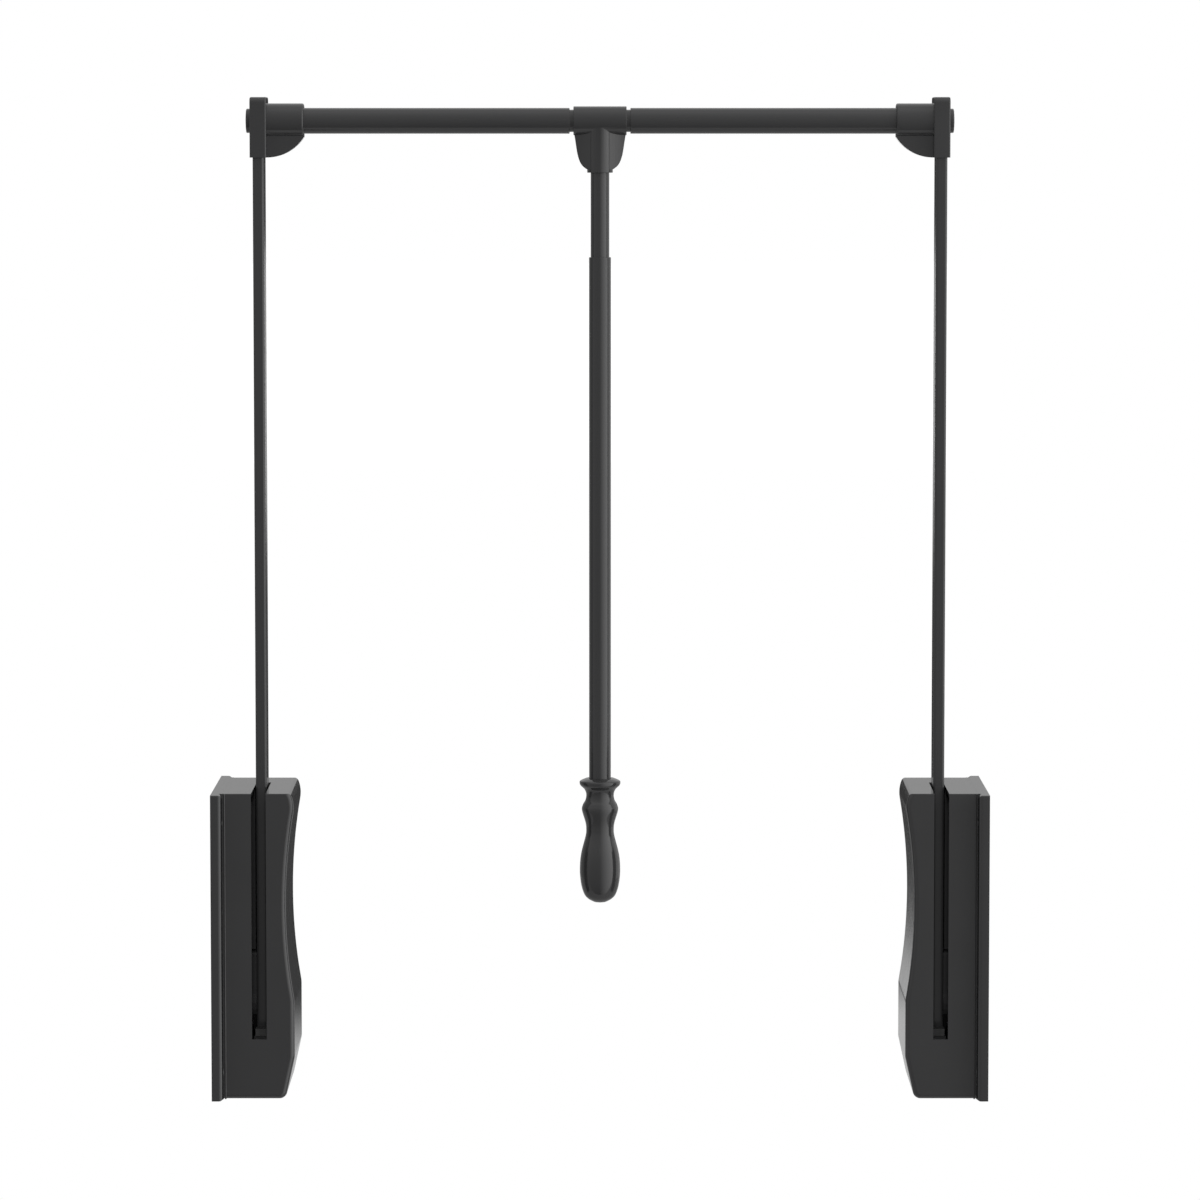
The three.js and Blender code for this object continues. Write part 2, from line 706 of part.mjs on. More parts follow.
// Unbroken round wire along a line, its section carried on from point to point without twisting
function wire(points, radius, sides) {
  const positions = [];
  const faces = [];
  let normal = widthWise;
  points.forEach((point, i) => {
    const before = points[Math.max(i - 1, 0)];
    const after = points[Math.min(i + 1, points.length - 1)];
    const tangent = after.clone().sub(before).normalize();
    const closeToEnd = i === 0 || i === points.length - 1;
    const run = closeToEnd ? upright : tangent;
    normal = normal.clone().addScaledVector(run, -normal.dot(run)).normalize();
    const side = run.clone().cross(normal);
    for (let k = 0; k < sides; k += 1) {
      const angle = (2 * Math.PI * k) / sides;
      const spot = point.clone();
      spot.addScaledVector(normal, radius * Math.cos(angle));
      spot.addScaledVector(side, radius * Math.sin(angle));
      positions.push(spot.x, spot.y, spot.z);
    }
  });
  for (let i = 0; i < points.length - 1; i += 1) {
    for (let k = 0; k < sides; k += 1) {
      const a = i * sides + k;
      const b = i * sides + ((k + 1) % sides);
      faces.push(a, b, b + sides, a, b + sides, a + sides);
    }
  }
  const last = (points.length - 1) * sides;
  for (let k = 1; k < sides - 1; k += 1) {
    faces.push(0, k + 1, k, last, last + k, last + k + 1);
  }
  const geometry = new THREE.BufferGeometry();
  geometry.setAttribute('position', new THREE.Float32BufferAttribute(positions, 3));
  geometry.setIndex(faces);
  return geometry;
}

function balanceSpring() {
  const line = springLine();
  console.log('least gap of the balance spring', leastGap(line, stepsPerCurl / 2, wireRadius).toFixed(2));
  return wire(line, wireRadius, wireSides);
}

// Rubber blocks that the arm rests on when it is upright and when it is down
function restBuffer() {
  return block(
    [armX - armThickness / 2, armRearY + clearance, restBufferRise],
    [armX + armThickness / 2, armRearY + clearance + bufferThickness, restBufferRise + restBufferHeight],
  );
}

function lowerBuffer() {
  return block(
    [armX - armThickness / 2, lowerBufferFrontY, lowerBufferFloor],
    [armX + armThickness / 2, lowerBufferFrontY + lowerBufferDepth, lowerBufferTop],
  );
}

// Rod bracket: a cap over the arm's end, a socket for the rod and a quarter-round gusset under it
function rodBracket() {
  const side = outline([
    [-capDepth / 2, -capBelow, capFootCorner], [capDepth / 2, -capBelow, capFootCorner],
    [capDepth / 2, capAbove, capTopCorner], [-capDepth / 2, capAbove, capTopCorner],
  ]);
  const arcZ = gussetRadius - capBelow;
  const arc = [];
  const lowest = -Math.PI / 2;
  const furthest = Math.asin(Math.min(socketLength / gussetRadius, 1));
  for (let step = 0; step <= waistSteps; step += 1) {
    const angle = lowest - (furthest * step) / waistSteps;
    arc.push([capInnerX + gussetRadius * Math.cos(angle), arcZ + gussetRadius * Math.sin(angle), 0]);
  }
  const gusset = outline([[armX, -capBelow, 0], [armX, 0, 0], [socketEndX, 0, 0], ...arc.reverse()]);
  const socket = [
    [0, socketEndX], [socketRadius - socketEndRadius, socketEndX],
    [socketRadius, socketEndX + socketEndRadius], [socketRadius, armX], [0, armX],
  ];
  return cut(
    joined([
      alongX(side, capInnerX, capOuterX, capEdgeRadius),
      turned(socket, 'X', tubeSides),
      alongY(gusset, -gussetThickness / 2, gussetThickness / 2),
    ]),
    [
      bar(outerTubeRadius + clearance, socketEndX - overrun, tubeSocketX, 'X'),
      block(
        [pocketInnerX, armFrontY - clearance, -capBelow - overrun],
        [armOuterX + clearance, armRearY + clearance, capAbove - capRoof],
      ),
      bar(boltRadius + clearance, tubeSocketX - overrun, capOuterX + overrun, 'X', pinSides),
    ],
  );
}

// Bolt through the bracket and the arm into the plug in the rod's end
function bracketBolt() {
  const head = capOuterX + clearance;
  const top = head + boltHeadHeight;
  const profile = [
    [0, head - boltLength], [boltRadius, head - boltLength], [boltRadius, head],
    [boltHeadRadius, head], [boltHeadRadius, top], [0, top],
  ];
  const socket = bar(boltRadius, top - boltHeadHeight / 2, top + overrun, 'X', socketSides);
  return turned(profile, 'X', pinSides).subtract(socket);
}

// Crowned cover over the bolt's head
function boltCover() {
  const seat = capOuterX + clearance;
  const crown = seat + boltCoverHeight - clearance;
  const rim = boltCoverRadius - boltCoverCrown;
  const hollow = boltHeadRadius + clearance;
  const profile = [
    [hollow, seat], [boltCoverRadius, seat], [boltCoverRadius, crown - 2 * boltCoverCrown],
    [rim, crown - boltCoverCrown], [0, crown], [0, crown - boltCoverWall], [hollow, crown - boltCoverWall],
    [hollow, seat],
  ];
  return turned(profile, 'X', tubeSides);
}

// Plug in the rod's end that takes the bolt
function rodPlug() {
  const radius = outerTubeBore - clearance;
  const bore = boltRadius + clearance;
  return tube(radius, bore, outerTubeEndX - rodPlugLength, outerTubeEndX, 'X');
}

// Connector: a sleeve round the rod with a tapering body down to the handle, and a groove for the rod's pin
function handleTee() {
  const half = teeWidth / 2;
  const flank = teeFlankShares.map(([width, drop]) => [half * width, -teeDrop * drop, 0]);
  const left = flank.map(([x, z]) => [-x, z, 0]);
  const front = outline([...left, ...flank.reverse(), [flank.at(-1)[0], 0, 0], [-flank.at(-1)[0], 0, 0]]);
  const fin = teeFinThickness / 2;
  const shoulder = teeShoulderThickness / 2;
  const plan = outline([
    [half, -fin, 0], [half, fin, 0], [teeShoulderReach, shoulder, 0], [-teeShoulderReach, shoulder, 0],
    [-half, fin, 0], [-half, -fin, 0], [-teeShoulderReach, -shoulder, 0], [teeShoulderReach, -shoulder, 0],
  ]);
  const body = joined([
    bar(teeRadius, -half, half, 'X'),
    alongY(front, -teeRadius, teeRadius).intersect(alongZ(plan, -teeDrop, 0)),
    bar(teeBossRadius, -teeDrop, 0, 'Z'),
  ]);
  return cut(body, [
    bar(teeBore, -half - overrun, half + overrun, 'X'),
    bar(teeBore + teeGrooveDepth, -teePinRadius - clearance, teePinRadius + clearance, 'X'),
    bar(handleTubeRadius + clearance, -teeDrop - overrun, teeSocketTop, 'Z'),
  ]);
}

// Pin through the rod that stands in the connector's groove and keeps it in the middle
function teePin() {
  const reach = innerTubeRadius + teePinStand;
  return bar(teePinRadius, -reach, reach, 'Y', boltSides);
}

function rodInnerTube() {
  const body = tube(innerTubeRadius, innerTubeBore, -innerTubeReach, innerTubeReach, 'X');
  const reach = innerTubeRadius + overrun;
  return body.subtract(bar(teePinRadius + clearance, -reach, reach, 'Y', boltSides));
}

// Plug in the handle tube's lower end, with a groove for the friction ring
function stopPlug() {
  const end = -handleTubeEnd - clearance;
  const foot = end - stopPlugHead;
  const head = lowerTubeBore - clearance;
  const waist = head - stopPlugGroove;
  const core = handleTubeBore - clearance;
  const profile = [
    [0, foot], [head, foot], [head, foot + stopPlugHead / 3], [waist, foot + stopPlugHead / 3],
    [waist, end - stopPlugHead / 3], [head, end - stopPlugHead / 3], [head, end], [core, end],
    [core, end + stopPlugLength], [0, end + stopPlugLength],
  ];
  return turned(profile, 'Z', pinSides);
}

// Rubber ring in that groove, which grips the lower tube
function frictionRing() {
  const end = -handleTubeEnd - clearance;
  const low = end - stopPlugHead + stopPlugHead / 3 + clearance;
  const high = end - stopPlugHead / 3 - clearance;
  const head = lowerTubeBore - clearance / 2;
  const waist = lowerTubeBore - stopPlugGroove;
  return turned([[waist, low], [head, low], [head, high], [waist, high], [waist, low]], 'Z', pinSides);
}

// Turned grip with a bore for the lower tube
function handleGrip() {
  const foot = -gripTop - gripLength;
  const bore = lowerTubeRadius + clearance;
  const boreEnd = -lowerTubeEnd - gripFloorGap;
  const swell = gripShares.map(([radius, height]) => [gripRadius * radius, foot + gripLength * height]);
  const profile = [[0, foot], ...swell, [bore, -gripTop], [bore, boreEnd], [0, boreEnd]];
  return turned(profile, 'Z', gripSides);
}

const housingPieces = [
  ['mounting_plate', mountingPlate(), plastic],
  ['housing_cover', housingCover(), plastic],
  ['pivot_shaft', pivotShaft(), steel],
  ['outer_pivot_bush', pivotBush(outerFlangeX, -1), nylon],
  ['inner_pivot_bush', pivotBush(coverPivotBossX + clearance + bushFlange, 1), nylon],
  ['spring_strut', springStrut(), steel],
  ['spring_seat', springSeat(), steel],
  ['spring_seat_screw', screw(screwHeadX, yokeY, seatScrewHeight), steel],
  ['rest_buffer', restBuffer(), rubber],
  ['lower_buffer', lowerBuffer(), rubber],
  ...[-1, 1].flatMap((side) => coverScrewHeights.map((height, level) => [
    `cover_screw_${side < 0 ? 'front' : 'rear'}_${level ? 'upper' : 'lower'}`,
    screw(screwHeadX, side * coverScrewY, height), steel,
  ])),
];

const armPieces = [
  ['arm_tube', armTube(), coatedSteel],
  ['arm_foot', armFoot(), steel],
  ['crank_lever', crankLever(), coatedSteel],
  ['crank_rivet', crankRivet(), coatedSteel],
  ['crank_pin', crankPin(), steel],
];

const outerTube = tube(outerTubeRadius, outerTubeBore, outerTubeStart, outerTubeEndX, 'X');
const upperTube = tube(handleTubeRadius, handleTubeBore, -handleTubeEnd, teeSocketTop - clearance, 'Z');
const lowerTube = tube(lowerTubeRadius, lowerTubeBore, -lowerTubeEnd, -lowerTubeStart, 'Z');

const rodPieces = [
  ['rod_bracket', rodBracket(), plastic],
  ['bracket_bolt', bracketBolt(), steel],
  ['bolt_cover', boltCover(), plastic],
  ['rod_plug', rodPlug(), nylon],
  ['rod_outer_tube', outerTube, coatedSteel],
];

const centrePieces = [
  ['rod_inner_tube', rodInnerTube(), coatedSteel],
  ['tee_pin', teePin(), steel],
  ['handle_tee', handleTee(), plastic],
  ['handle_upper_tube', upperTube, coatedSteel],
  ['handle_stop_plug', stopPlug(), nylon],
  ['handle_friction_ring', frictionRing(), rubber],
  ['handle_lower_tube', lowerTube, coatedSteel],
  ['handle_grip', handleGrip(), plastic],
];

// Named mesh with a material of its own
function piece(name, geometry, finish) {
  geometry.computeVertexNormals();
  const mesh = new THREE.Mesh(geometry, new THREE.MeshStandardMaterial(finish));
  mesh.name = name;
  return mesh;
}

// The right and left copies of a list of pieces, in a group at a height
function bothSides(pieces, height) {
  const group = new THREE.Group();
  group.position.z = height;
  for (const [name, body, finish] of pieces) {
    const geometry = body.isBufferGeometry ? body : geometryOf(body);
    group.add(piece(`right_${name}`, geometry, finish));
    group.add(piece(`left_${name}`, mirrored(geometry), finish));
  }
  return group;
}

const centre = new THREE.Group();
centre.position.z = rodHeight;
for (const [name, body, finish] of centrePieces) {
  centre.add(piece(name, geometryOf(body), finish));
}

const lift = new THREE.Group();
lift.add(bothSides([...housingPieces, ['balance_spring', balanceSpring(), springSteel]], 0));
lift.add(bothSides(armPieces, pivotHeight));
lift.add(bothSides(rodPieces, rodHeight));
lift.add(centre);

export default lift;
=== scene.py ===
"""Looks of a pull-down closet rod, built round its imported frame.

The frame holds the plain solids of the lift, in metres, with +Y to the back of the wardrobe and +Z up.
Each piece here takes the place of solids of the same name, with its full shape and finish. The lift is the
same on both sides, so a piece is made for the right side and mirrored for the left one.
"""

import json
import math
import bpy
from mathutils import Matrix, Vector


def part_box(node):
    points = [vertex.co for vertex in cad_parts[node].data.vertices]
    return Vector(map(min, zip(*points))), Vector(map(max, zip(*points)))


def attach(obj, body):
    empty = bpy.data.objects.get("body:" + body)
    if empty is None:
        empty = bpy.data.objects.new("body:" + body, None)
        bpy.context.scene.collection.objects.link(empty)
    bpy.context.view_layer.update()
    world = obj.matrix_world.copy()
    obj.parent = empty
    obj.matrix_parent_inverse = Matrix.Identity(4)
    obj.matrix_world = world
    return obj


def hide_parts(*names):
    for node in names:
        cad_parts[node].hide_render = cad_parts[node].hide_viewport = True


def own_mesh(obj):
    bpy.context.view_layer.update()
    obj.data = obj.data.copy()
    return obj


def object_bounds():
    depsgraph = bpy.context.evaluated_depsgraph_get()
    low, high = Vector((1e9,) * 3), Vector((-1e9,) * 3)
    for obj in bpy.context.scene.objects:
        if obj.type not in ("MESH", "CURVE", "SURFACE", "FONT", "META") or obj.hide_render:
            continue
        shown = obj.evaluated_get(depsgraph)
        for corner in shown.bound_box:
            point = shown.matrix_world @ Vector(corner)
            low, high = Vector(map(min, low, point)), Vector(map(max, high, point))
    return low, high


bl_info = {
    "name": "Pull-down closet rod",
    "version": (1, 0, 0),
    "blender": (4, 5, 0),
    "location": "3D View > Sidebar > Closet Rod",
    "description": "Builds a pull-down closet rod, its finishes and a studio round it",
    "category": "Add Mesh",
}

import bmesh
import bpy
from bpy.props import FloatProperty, FloatVectorProperty, IntProperty, PointerProperty
from mathutils import Matrix, Vector

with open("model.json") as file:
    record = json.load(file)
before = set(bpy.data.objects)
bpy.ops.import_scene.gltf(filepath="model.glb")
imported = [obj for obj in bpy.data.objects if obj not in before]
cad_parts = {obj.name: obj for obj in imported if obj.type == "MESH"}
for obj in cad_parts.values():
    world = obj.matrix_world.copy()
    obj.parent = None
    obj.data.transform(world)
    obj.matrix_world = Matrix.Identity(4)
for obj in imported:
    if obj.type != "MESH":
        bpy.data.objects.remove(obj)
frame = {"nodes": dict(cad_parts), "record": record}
cad_box = [list(corner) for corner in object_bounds()]
SIDES = ("left", "right")


def high(node):
    """Highest corner of a solid of the frame."""
    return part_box(node)[1]


def middle(node):
    """Middle of a solid of the frame."""
    lower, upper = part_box(node)
    return (lower + upper) / 2


# Sizes and colours that can be changed in the sidebar


def length(name, description, default):
    return FloatProperty(name=name, description=description, default=default, min=0.0, subtype="DISTANCE",
                         unit="LENGTH")


def colour(name, description, default):
    return FloatVectorProperty(name=name, description=description, default=default, min=0.0, max=1.0, size=3,
                               subtype="COLOR")


def share(name, description, default):
    return FloatProperty(name=name, description=description, default=default, min=0.0, max=1.0,
                         subtype="FACTOR")


def power(name, description, default):
    return FloatProperty(name=name, description=description, default=default, min=0.0, unit="POWER")


class HousingSizes(bpy.types.PropertyGroup):
    """Sizes of the housings on the wardrobe's side walls."""

    plate_thickness: length("Plate thickness", "Thickness of the mounting plate", 0.0096)
    plate_edge: length("Plate edge", "Radius of the mounting plate's inner edges", 0.0035)
    plate_corner: length("Plate corner", "Radius of the mounting plate's corners, seen from the side", 0.0012)
    wall_hole: length("Wall hole radius", "Radius of the holes for the wall screws", 0.0025)
    wall_hole_head: length("Wall hole head radius", "Radius of the sink for a wall screw's head", 0.0043)
    wall_hole_inset: length("Wall hole inset", "Wall holes from the plate's front and rear edges", 0.0082)
    wall_hole_rise: length("Wall hole rise", "Wall holes from the plate's lower and upper edges", 0.024)
    cover_wall: length("Cover wall", "Wall of the housing cover", 0.003)
    cover_edge: length("Cover edge", "Radius of the cover's front and rear edges", 0.004)
    cover_top_edge: length("Cover top edge", "Radius of the edges round the cover's top", 0.0009)
    top_corner: length("Top corner", "Radius between the cover's top and its inner side", 0.004)
    face_corner: length("Face corner", "Radius of the upper corner of the cover's flat front", 0.0033)
    brow_radius: length("Brow radius", "Radius of the swell under the cover's top corner", 0.029)
    foot_corner: length("Foot corner", "Radius between the cover's underside and its inner side", 0.0065)
    hip_corner: length("Hip corner", "Radius at the top of the cover's sloping foot", 0.012)
    crest_corner: length("Crest corner", "Radius at the lower end of the waist", 0.03)
    foot_setback: length("Foot setback", "How far the foot slopes in", 0.0079)
    hip_height: length("Hip height", "Height of the top of the sloping foot", 0.036)
    waist_height: length("Waist height", "Height of the narrowest place of the waist", 0.166)
    waist_sag: length("Waist sag", "Depth of the waist", 0.0071)
    waist_radius: length("Waist radius", "Radius of the waist's curve", 0.47)
    slot_width: length("Slot width", "Width of the slot for the arm", 0.0125)
    slot_floor: length("Slot floor", "Height of the slot's lower end", 0.0513)
    slot_run: length("Slot run", "How far the slot runs back in the cover's top", 0.082)
    guide: length("Guide", "Thickness of the wall between the arm and the spring", 0.0014)
    guide_flange: length("Guide flange", "Width of the guide's front flange", 0.0046)
    guide_front: length("Guide front", "How far the guide's front is behind the pivot", 0.002)
    guide_foot: length("Guide foot", "Height of the guide's lower end, clear of the crank", 0.1198)
    seam: length("Seam", "Width of the seam between the cover and the plate", 0.00003)
    bead_radius: length("Bead radius", "Radius of the beads on the cover next to the plate", 0.0007)
    bead_inset: length("Bead inset", "Middle of a bead from the cover's edge next to the plate", 0.0012)


class ArmSizes(bpy.types.PropertyGroup):
    """Sizes of the lift arms and their rod brackets."""

    tube_wall: length("Arm wall", "Wall of the arm's tube", 0.0015)
    tube_corner: length("Arm corner", "Radius of the arm's long edges", 0.002)
    cap_thickness: length("Cap thickness", "Thickness of the bracket's cap over the arm", 0.014)
    cap_edge: length("Cap edge", "Radius of the cap's edges", 0.0012)
    cap_top_corner: length("Cap top corner", "Radius of the cap's upper corners, seen from the side", 0.0046)
    socket_radius: length("Socket radius", "Outer radius of the rod's socket", 0.0148)
    socket_edge: length("Socket edge", "Radius of the socket's end edge", 0.0015)
    gusset_radius: length("Gusset radius", "Radius of the quarter-round gusset", 0.0375)
    gusset_thickness: length("Gusset thickness", "Thickness of the gusset", 0.015)
    cover_edge: length("Bolt cover edge", "Radius of the bolt cover's edge", 0.0009)
    cover_crown: length("Bolt cover crown", "Rise of the bolt cover's middle", 0.0006)


class RodSizes(bpy.types.PropertyGroup):
    """Sizes of the rod, its connector and the pull handle."""

    rod_edge: length("Rod edge", "Radius of the ends of the rod's tubes", 0.0004)
    outer_wall: length("Outer rod wall", "Wall of the rod's outer tubes", 0.00115)
    inner_wall: length("Inner rod wall", "Wall of the rod's inner tube", 0.0012)
    sleeve_radius: length("Sleeve radius", "Radius of the connector's sleeve", 0.0123)
    sleeve_edge: length("Sleeve edge", "Radius of the sleeve's end edges", 0.0005)
    sleeve_bore: length("Sleeve bore", "Radius of the sleeve's bore", 0.00975)
    boss_radius: length("Boss radius", "Radius of the connector's boss round the handle", 0.0109)
    fin_thickness: length("Fin thickness", "Thickness of the connector's fins at their edges", 0.004)
    shoulder_reach: length("Shoulder reach", "Where the fins meet the boss", 0.008)
    shoulder_thickness: length("Shoulder thickness", "Thickness of the fins where they meet the boss", 0.015)
    socket_depth: length("Socket depth", "Depth of the connector's socket for the handle", 0.031)
    upper_wall: length("Upper handle wall", "Wall of the handle's upper tube", 0.001)
    lower_wall: length("Lower handle wall", "Wall of the handle's lower tube", 0.0011)
    grip_bore: length("Grip bore", "Radius of the grip's bore", 0.0096)
    grip_bore_depth: length("Grip bore depth", "Depth of the grip's bore", 0.064)


class SpringSizes(bpy.types.PropertyGroup):
    """Sizes of the balance springs and of the screws in the plates."""

    wire_radius: length("Wire radius", "Radius of the spring's wire", 0.0015)
    curls: IntProperty(name="Curls", description="Working curls of a spring", default=15, min=3, max=40)
    closed_share: share("Closed ends", "Share of the spring's curls that lie closed at each end", 0.06)
    screw_grip: length("Screw length", "Length of a plate screw", 0.018)
    screw_radius: length("Screw radius", "Radius of a plate screw's shank", 0.0019)
    screw_head: length("Screw head radius", "Radius of a plate screw's head", 0.0039)
    screw_head_height: length("Screw head height", "Height of a plate screw's countersunk head", 0.0024)
    screw_socket: length("Screw socket radius", "Radius of the hexagonal socket in a screw's head", 0.0017)
    thread_pitch: length("Thread pitch", "Pitch of a plate screw's thread", 0.0012)


class Finishes(bpy.types.PropertyGroup):
    """Colours and gloss of the lift."""

    plastic: colour("Plastic", "Colour of the moulded plastic", (0.0235, 0.0235, 0.024))
    coat: colour("Coat", "Colour of the powder coat on the arms and tubes", (0.0235, 0.0235, 0.024))
    steel: colour("Steel", "Colour of the plated steel", (0.56, 0.57, 0.58))
    spring: colour("Spring steel", "Colour of the springs' wire", (0.06, 0.061, 0.064))
    nylon: colour("Nylon", "Colour of the bushes and plugs", (0.66, 0.63, 0.55))
    rubber: colour("Rubber", "Colour of the buffers and the friction ring", (0.03, 0.03, 0.03))
    plastic_gloss: share("Plastic roughness", "Roughness of the moulded plastic", 0.1)
    coat_gloss: share("Coat roughness", "Roughness of the powder coat", 0.18)
    grain: length("Grain", "Size of the plastic's moulded grain", 0.0005)


class StageSizes(bpy.types.PropertyGroup):
    """Floor, light and camera."""

    floor_drop: length("Floor drop", "Floor below the lift, as it hangs in a wardrobe", 1.1)
    camera_distance: length("Camera distance", "Camera in front of the rod's plane", 4.773)
    camera_height: length("Camera height", "Height of the camera", 0.8312)
    aim_height: length("Aim height", "Height at the front of the plates that the camera points at", 0.4283)
    lens: FloatProperty(name="Lens", description="Focal length on a 36 mm sensor", default=167.7, min=1.0,
                        subtype="DISTANCE_CAMERA")
    floor_run: length("Floor run", "How far the floor runs on behind the lift", 5.0)
    floor_front: length("Floor front", "How far the floor reaches in front of the lift", 0.9)
    sky: share("Sky", "Brightness of the studio behind the lift", 1.0)
    room: share("Room", "Brightness of the studio in front of the lift", 0.32)
    glow: FloatProperty(name="Glow", description="Brightness of the studio's right side", default=1.7,
                        min=0.0)
    key_power: power("Key light", "Power of the lamp on the right", 20.0)
    fill_power: power("Fill light", "Power of the lamp over the camera", 125.0)


# Meshes, made in metres

FIT = 0.0003  # room round a piece in its seat
OVER = 0.001  # how far a cut runs out of the face that it opens
BEYOND = 0.01  # how far a shape runs past what it only has to cross
TOUCHING = 1e-7  # points that are closer than this are one
SHARP = math.radians(35.0)  # an edge that turns by more stays sharp
FINE, EVEN, SMALL, TINY = 128, 96, 48, 32  # steps round a circle, by what it is on
BEAD_STEPS = 24


def eased(corners, steps=8):
    """Outline through corners of (x, y, radius), with an arc at each corner that has a radius."""
    points = []
    for i, (x, y, radius) in enumerate(corners):
        corner = Vector((x, y))
        if radius <= 0.0:
            points.append(corner)
            continue
        back = (Vector(corners[i - 1][:2]) - corner).normalized()
        ahead = (Vector(corners[(i + 1) % len(corners)][:2]) - corner).normalized()
        half = back.angle(ahead) / 2
        run = radius / math.tan(half)
        centre = corner + (back + ahead).normalized() * (radius / math.sin(half))
        first = corner + back * run - centre
        last = corner + ahead * run - centre
        turn = math.atan2(first.x * last.y - first.y * last.x, first.dot(last))
        points += [centre + Matrix.Rotation(turn * k / steps, 2) @ first for k in range(steps + 1)]
    return points


def oblong(x0, y0, x1, y1, radius=0.0):
    """Rounded rectangle."""
    return eased([(x0, y0, radius), (x1, y0, radius), (x1, y1, radius), (x0, y1, radius)])


def smooth_through(points, steps):
    """Smooth line through points, with steps between each two."""
    ends = [points[0], *points, points[-1]]
    line = []
    for near in zip(ends, ends[1:], ends[2:], ends[3:]):
        before, here, after, beyond = (Vector(point) for point in near)
        for k in range(steps):
            t = k / steps
            line.append(0.5 * (2 * here + (after - before) * t
                               + (2 * before - 5 * here + 4 * after - beyond) * t ** 2
                               + (3 * here - before - 3 * after + beyond) * t ** 3))
    return [*line, Vector(points[-1])]


def spot(along, u, v, d):
    """Point at (u, v) of an outline that is carried a distance d along an axis."""
    return {"X": (d, u, v), "Y": (u, d, v), "Z": (u, v, d)}[along]


def prism(points, start, end, along, edge=0.0, ends=(True, True), steps=5):
    """Outline carried along an axis, with its end edges rounded where an edge radius is given."""
    solid = bmesh.new()
    rims = [[solid.verts.new(spot(along, u, v, d)) for u, v in points] for d in (start, end)]
    caps = [solid.faces.new(rim) for rim in rims]
    count = len(points)
    for i in range(count):
        j = (i + 1) % count
        solid.faces.new((rims[0][i], rims[0][j], rims[1][j], rims[1][i]))
    bmesh.ops.recalc_face_normals(solid, faces=solid.faces)
    if edge > 0.0:
        rim_edges = [e for cap, rounded in zip(caps, ends) if rounded for e in cap.edges]
        bmesh.ops.bevel(solid, geom=rim_edges, offset=edge, offset_type="OFFSET", segments=steps, profile=0.5,
                        affect="EDGES", clamp_overlap=False)
    return closed(solid)


def lathe(profile, along, centre=(0.0, 0.0, 0.0), steps=EVEN, ring=False):
    """Solid of revolution from a profile of (radius, distance along the axis), which a ring closes."""
    solid = bmesh.new()
    rows = []
    for radius, d in profile:
        turns = [math.tau * k / steps for k in range(steps)] if radius > TOUCHING else [0.0]
        rows.append([solid.verts.new(Vector(spot(along, radius * math.cos(a), radius * math.sin(a), d))
                                     + Vector(centre)) for a in turns])
    pairs = list(zip(rows, rows[1:]))
    if ring:
        pairs.append((rows[-1], rows[0]))
    for here, there in pairs:
        for k in range(steps):
            corners = [here[k % len(here)], here[(k + 1) % steps % len(here)],
                       there[(k + 1) % steps % len(there)], there[k % len(there)]]
            unique = list(dict.fromkeys(corners))
            if len(unique) > 2:
                solid.faces.new(unique)
    return closed(solid)


def bar(radius, start, end, along, centre=(0.0, 0.0, 0.0), steps=64):
    """Plain round bar, mostly to cut with."""
    return lathe([(0.0, start), (radius, start), (radius, end), (0.0, end)], along, centre, steps)


def eased_bar(radius, start, end, along, edges, centre=(0.0, 0.0, 0.0), steps=FINE, arc=4):
    """Round bar with a radius on the edge at its start and at its end."""
    profile = [(0.0, start, 0.0), (radius, start, edges[0]), (radius, end, edges[1]), (0.0, end, 0.0)]
    return lathe(eased(profile, arc), along, centre, steps)


def tube(radius, wall, start, end, along, edge, centre=(0.0, 0.0, 0.0)):
    """Round tube with rounded ends."""
    bore = radius - wall
    profile = [(bore, start, edge / 2), (radius, start, edge), (radius, end, edge), (bore, end, edge / 2)]
    return lathe(eased(profile, 4), along, centre, ring=True)


def block(corner, opposite):
    """Block between two opposite corners."""
    (x0, y0, z0), (x1, y1, z1) = corner, opposite
    return prism(oblong(x0, y0, x1, y1), z0, z1, "Z")


def closed(solid):
    """Mesh of a solid, with its faces turned outwards."""
    bmesh.ops.remove_doubles(solid, verts=solid.verts, dist=TOUCHING)
    bmesh.ops.recalc_face_normals(solid, faces=solid.faces)
    mesh = bpy.data.meshes.new("solid")
    solid.to_mesh(mesh)
    solid.free()
    return mesh


def placed(name, data):
    """New object in the scene."""
    item = bpy.data.objects.new(name, data)
    bpy.context.scene.collection.objects.link(item)
    return item


def evaluated(item):
    """New mesh with the shape that an object's modifiers give it."""
    return bpy.data.meshes.new_from_object(item.evaluated_get(bpy.context.evaluated_depsgraph_get()))


def combined(mesh, others, operation):
    """A mesh with others joined to it, cut out of it or kept in common with it."""
    body = placed("body", mesh)
    tools = [placed("tool", other) for other in others]
    for tool in tools:
        step = body.modifiers.new(operation.title(), "BOOLEAN")
        step.operation = operation
        step.solver = "MANIFOLD"
        step.object = tool
    result = evaluated(body)
    for item in (body, *tools):
        used = item.data
        bpy.data.objects.remove(item)
        bpy.data.meshes.remove(used)
    return result


def joined(mesh, *others):
    return combined(mesh, others, "UNION")


def cut(mesh, *tools):
    return combined(mesh, tools, "DIFFERENCE")


def common(mesh, *others):
    return combined(mesh, others, "INTERSECT")


def mirrored(mesh):
    """The same mesh on the lift's other side, facing outwards again."""
    solid = bmesh.new()
    solid.from_mesh(mesh)
    bmesh.ops.transform(solid, matrix=Matrix.Scale(-1.0, 4, Vector((1.0, 0.0, 0.0))), verts=solid.verts)
    return closed(solid)


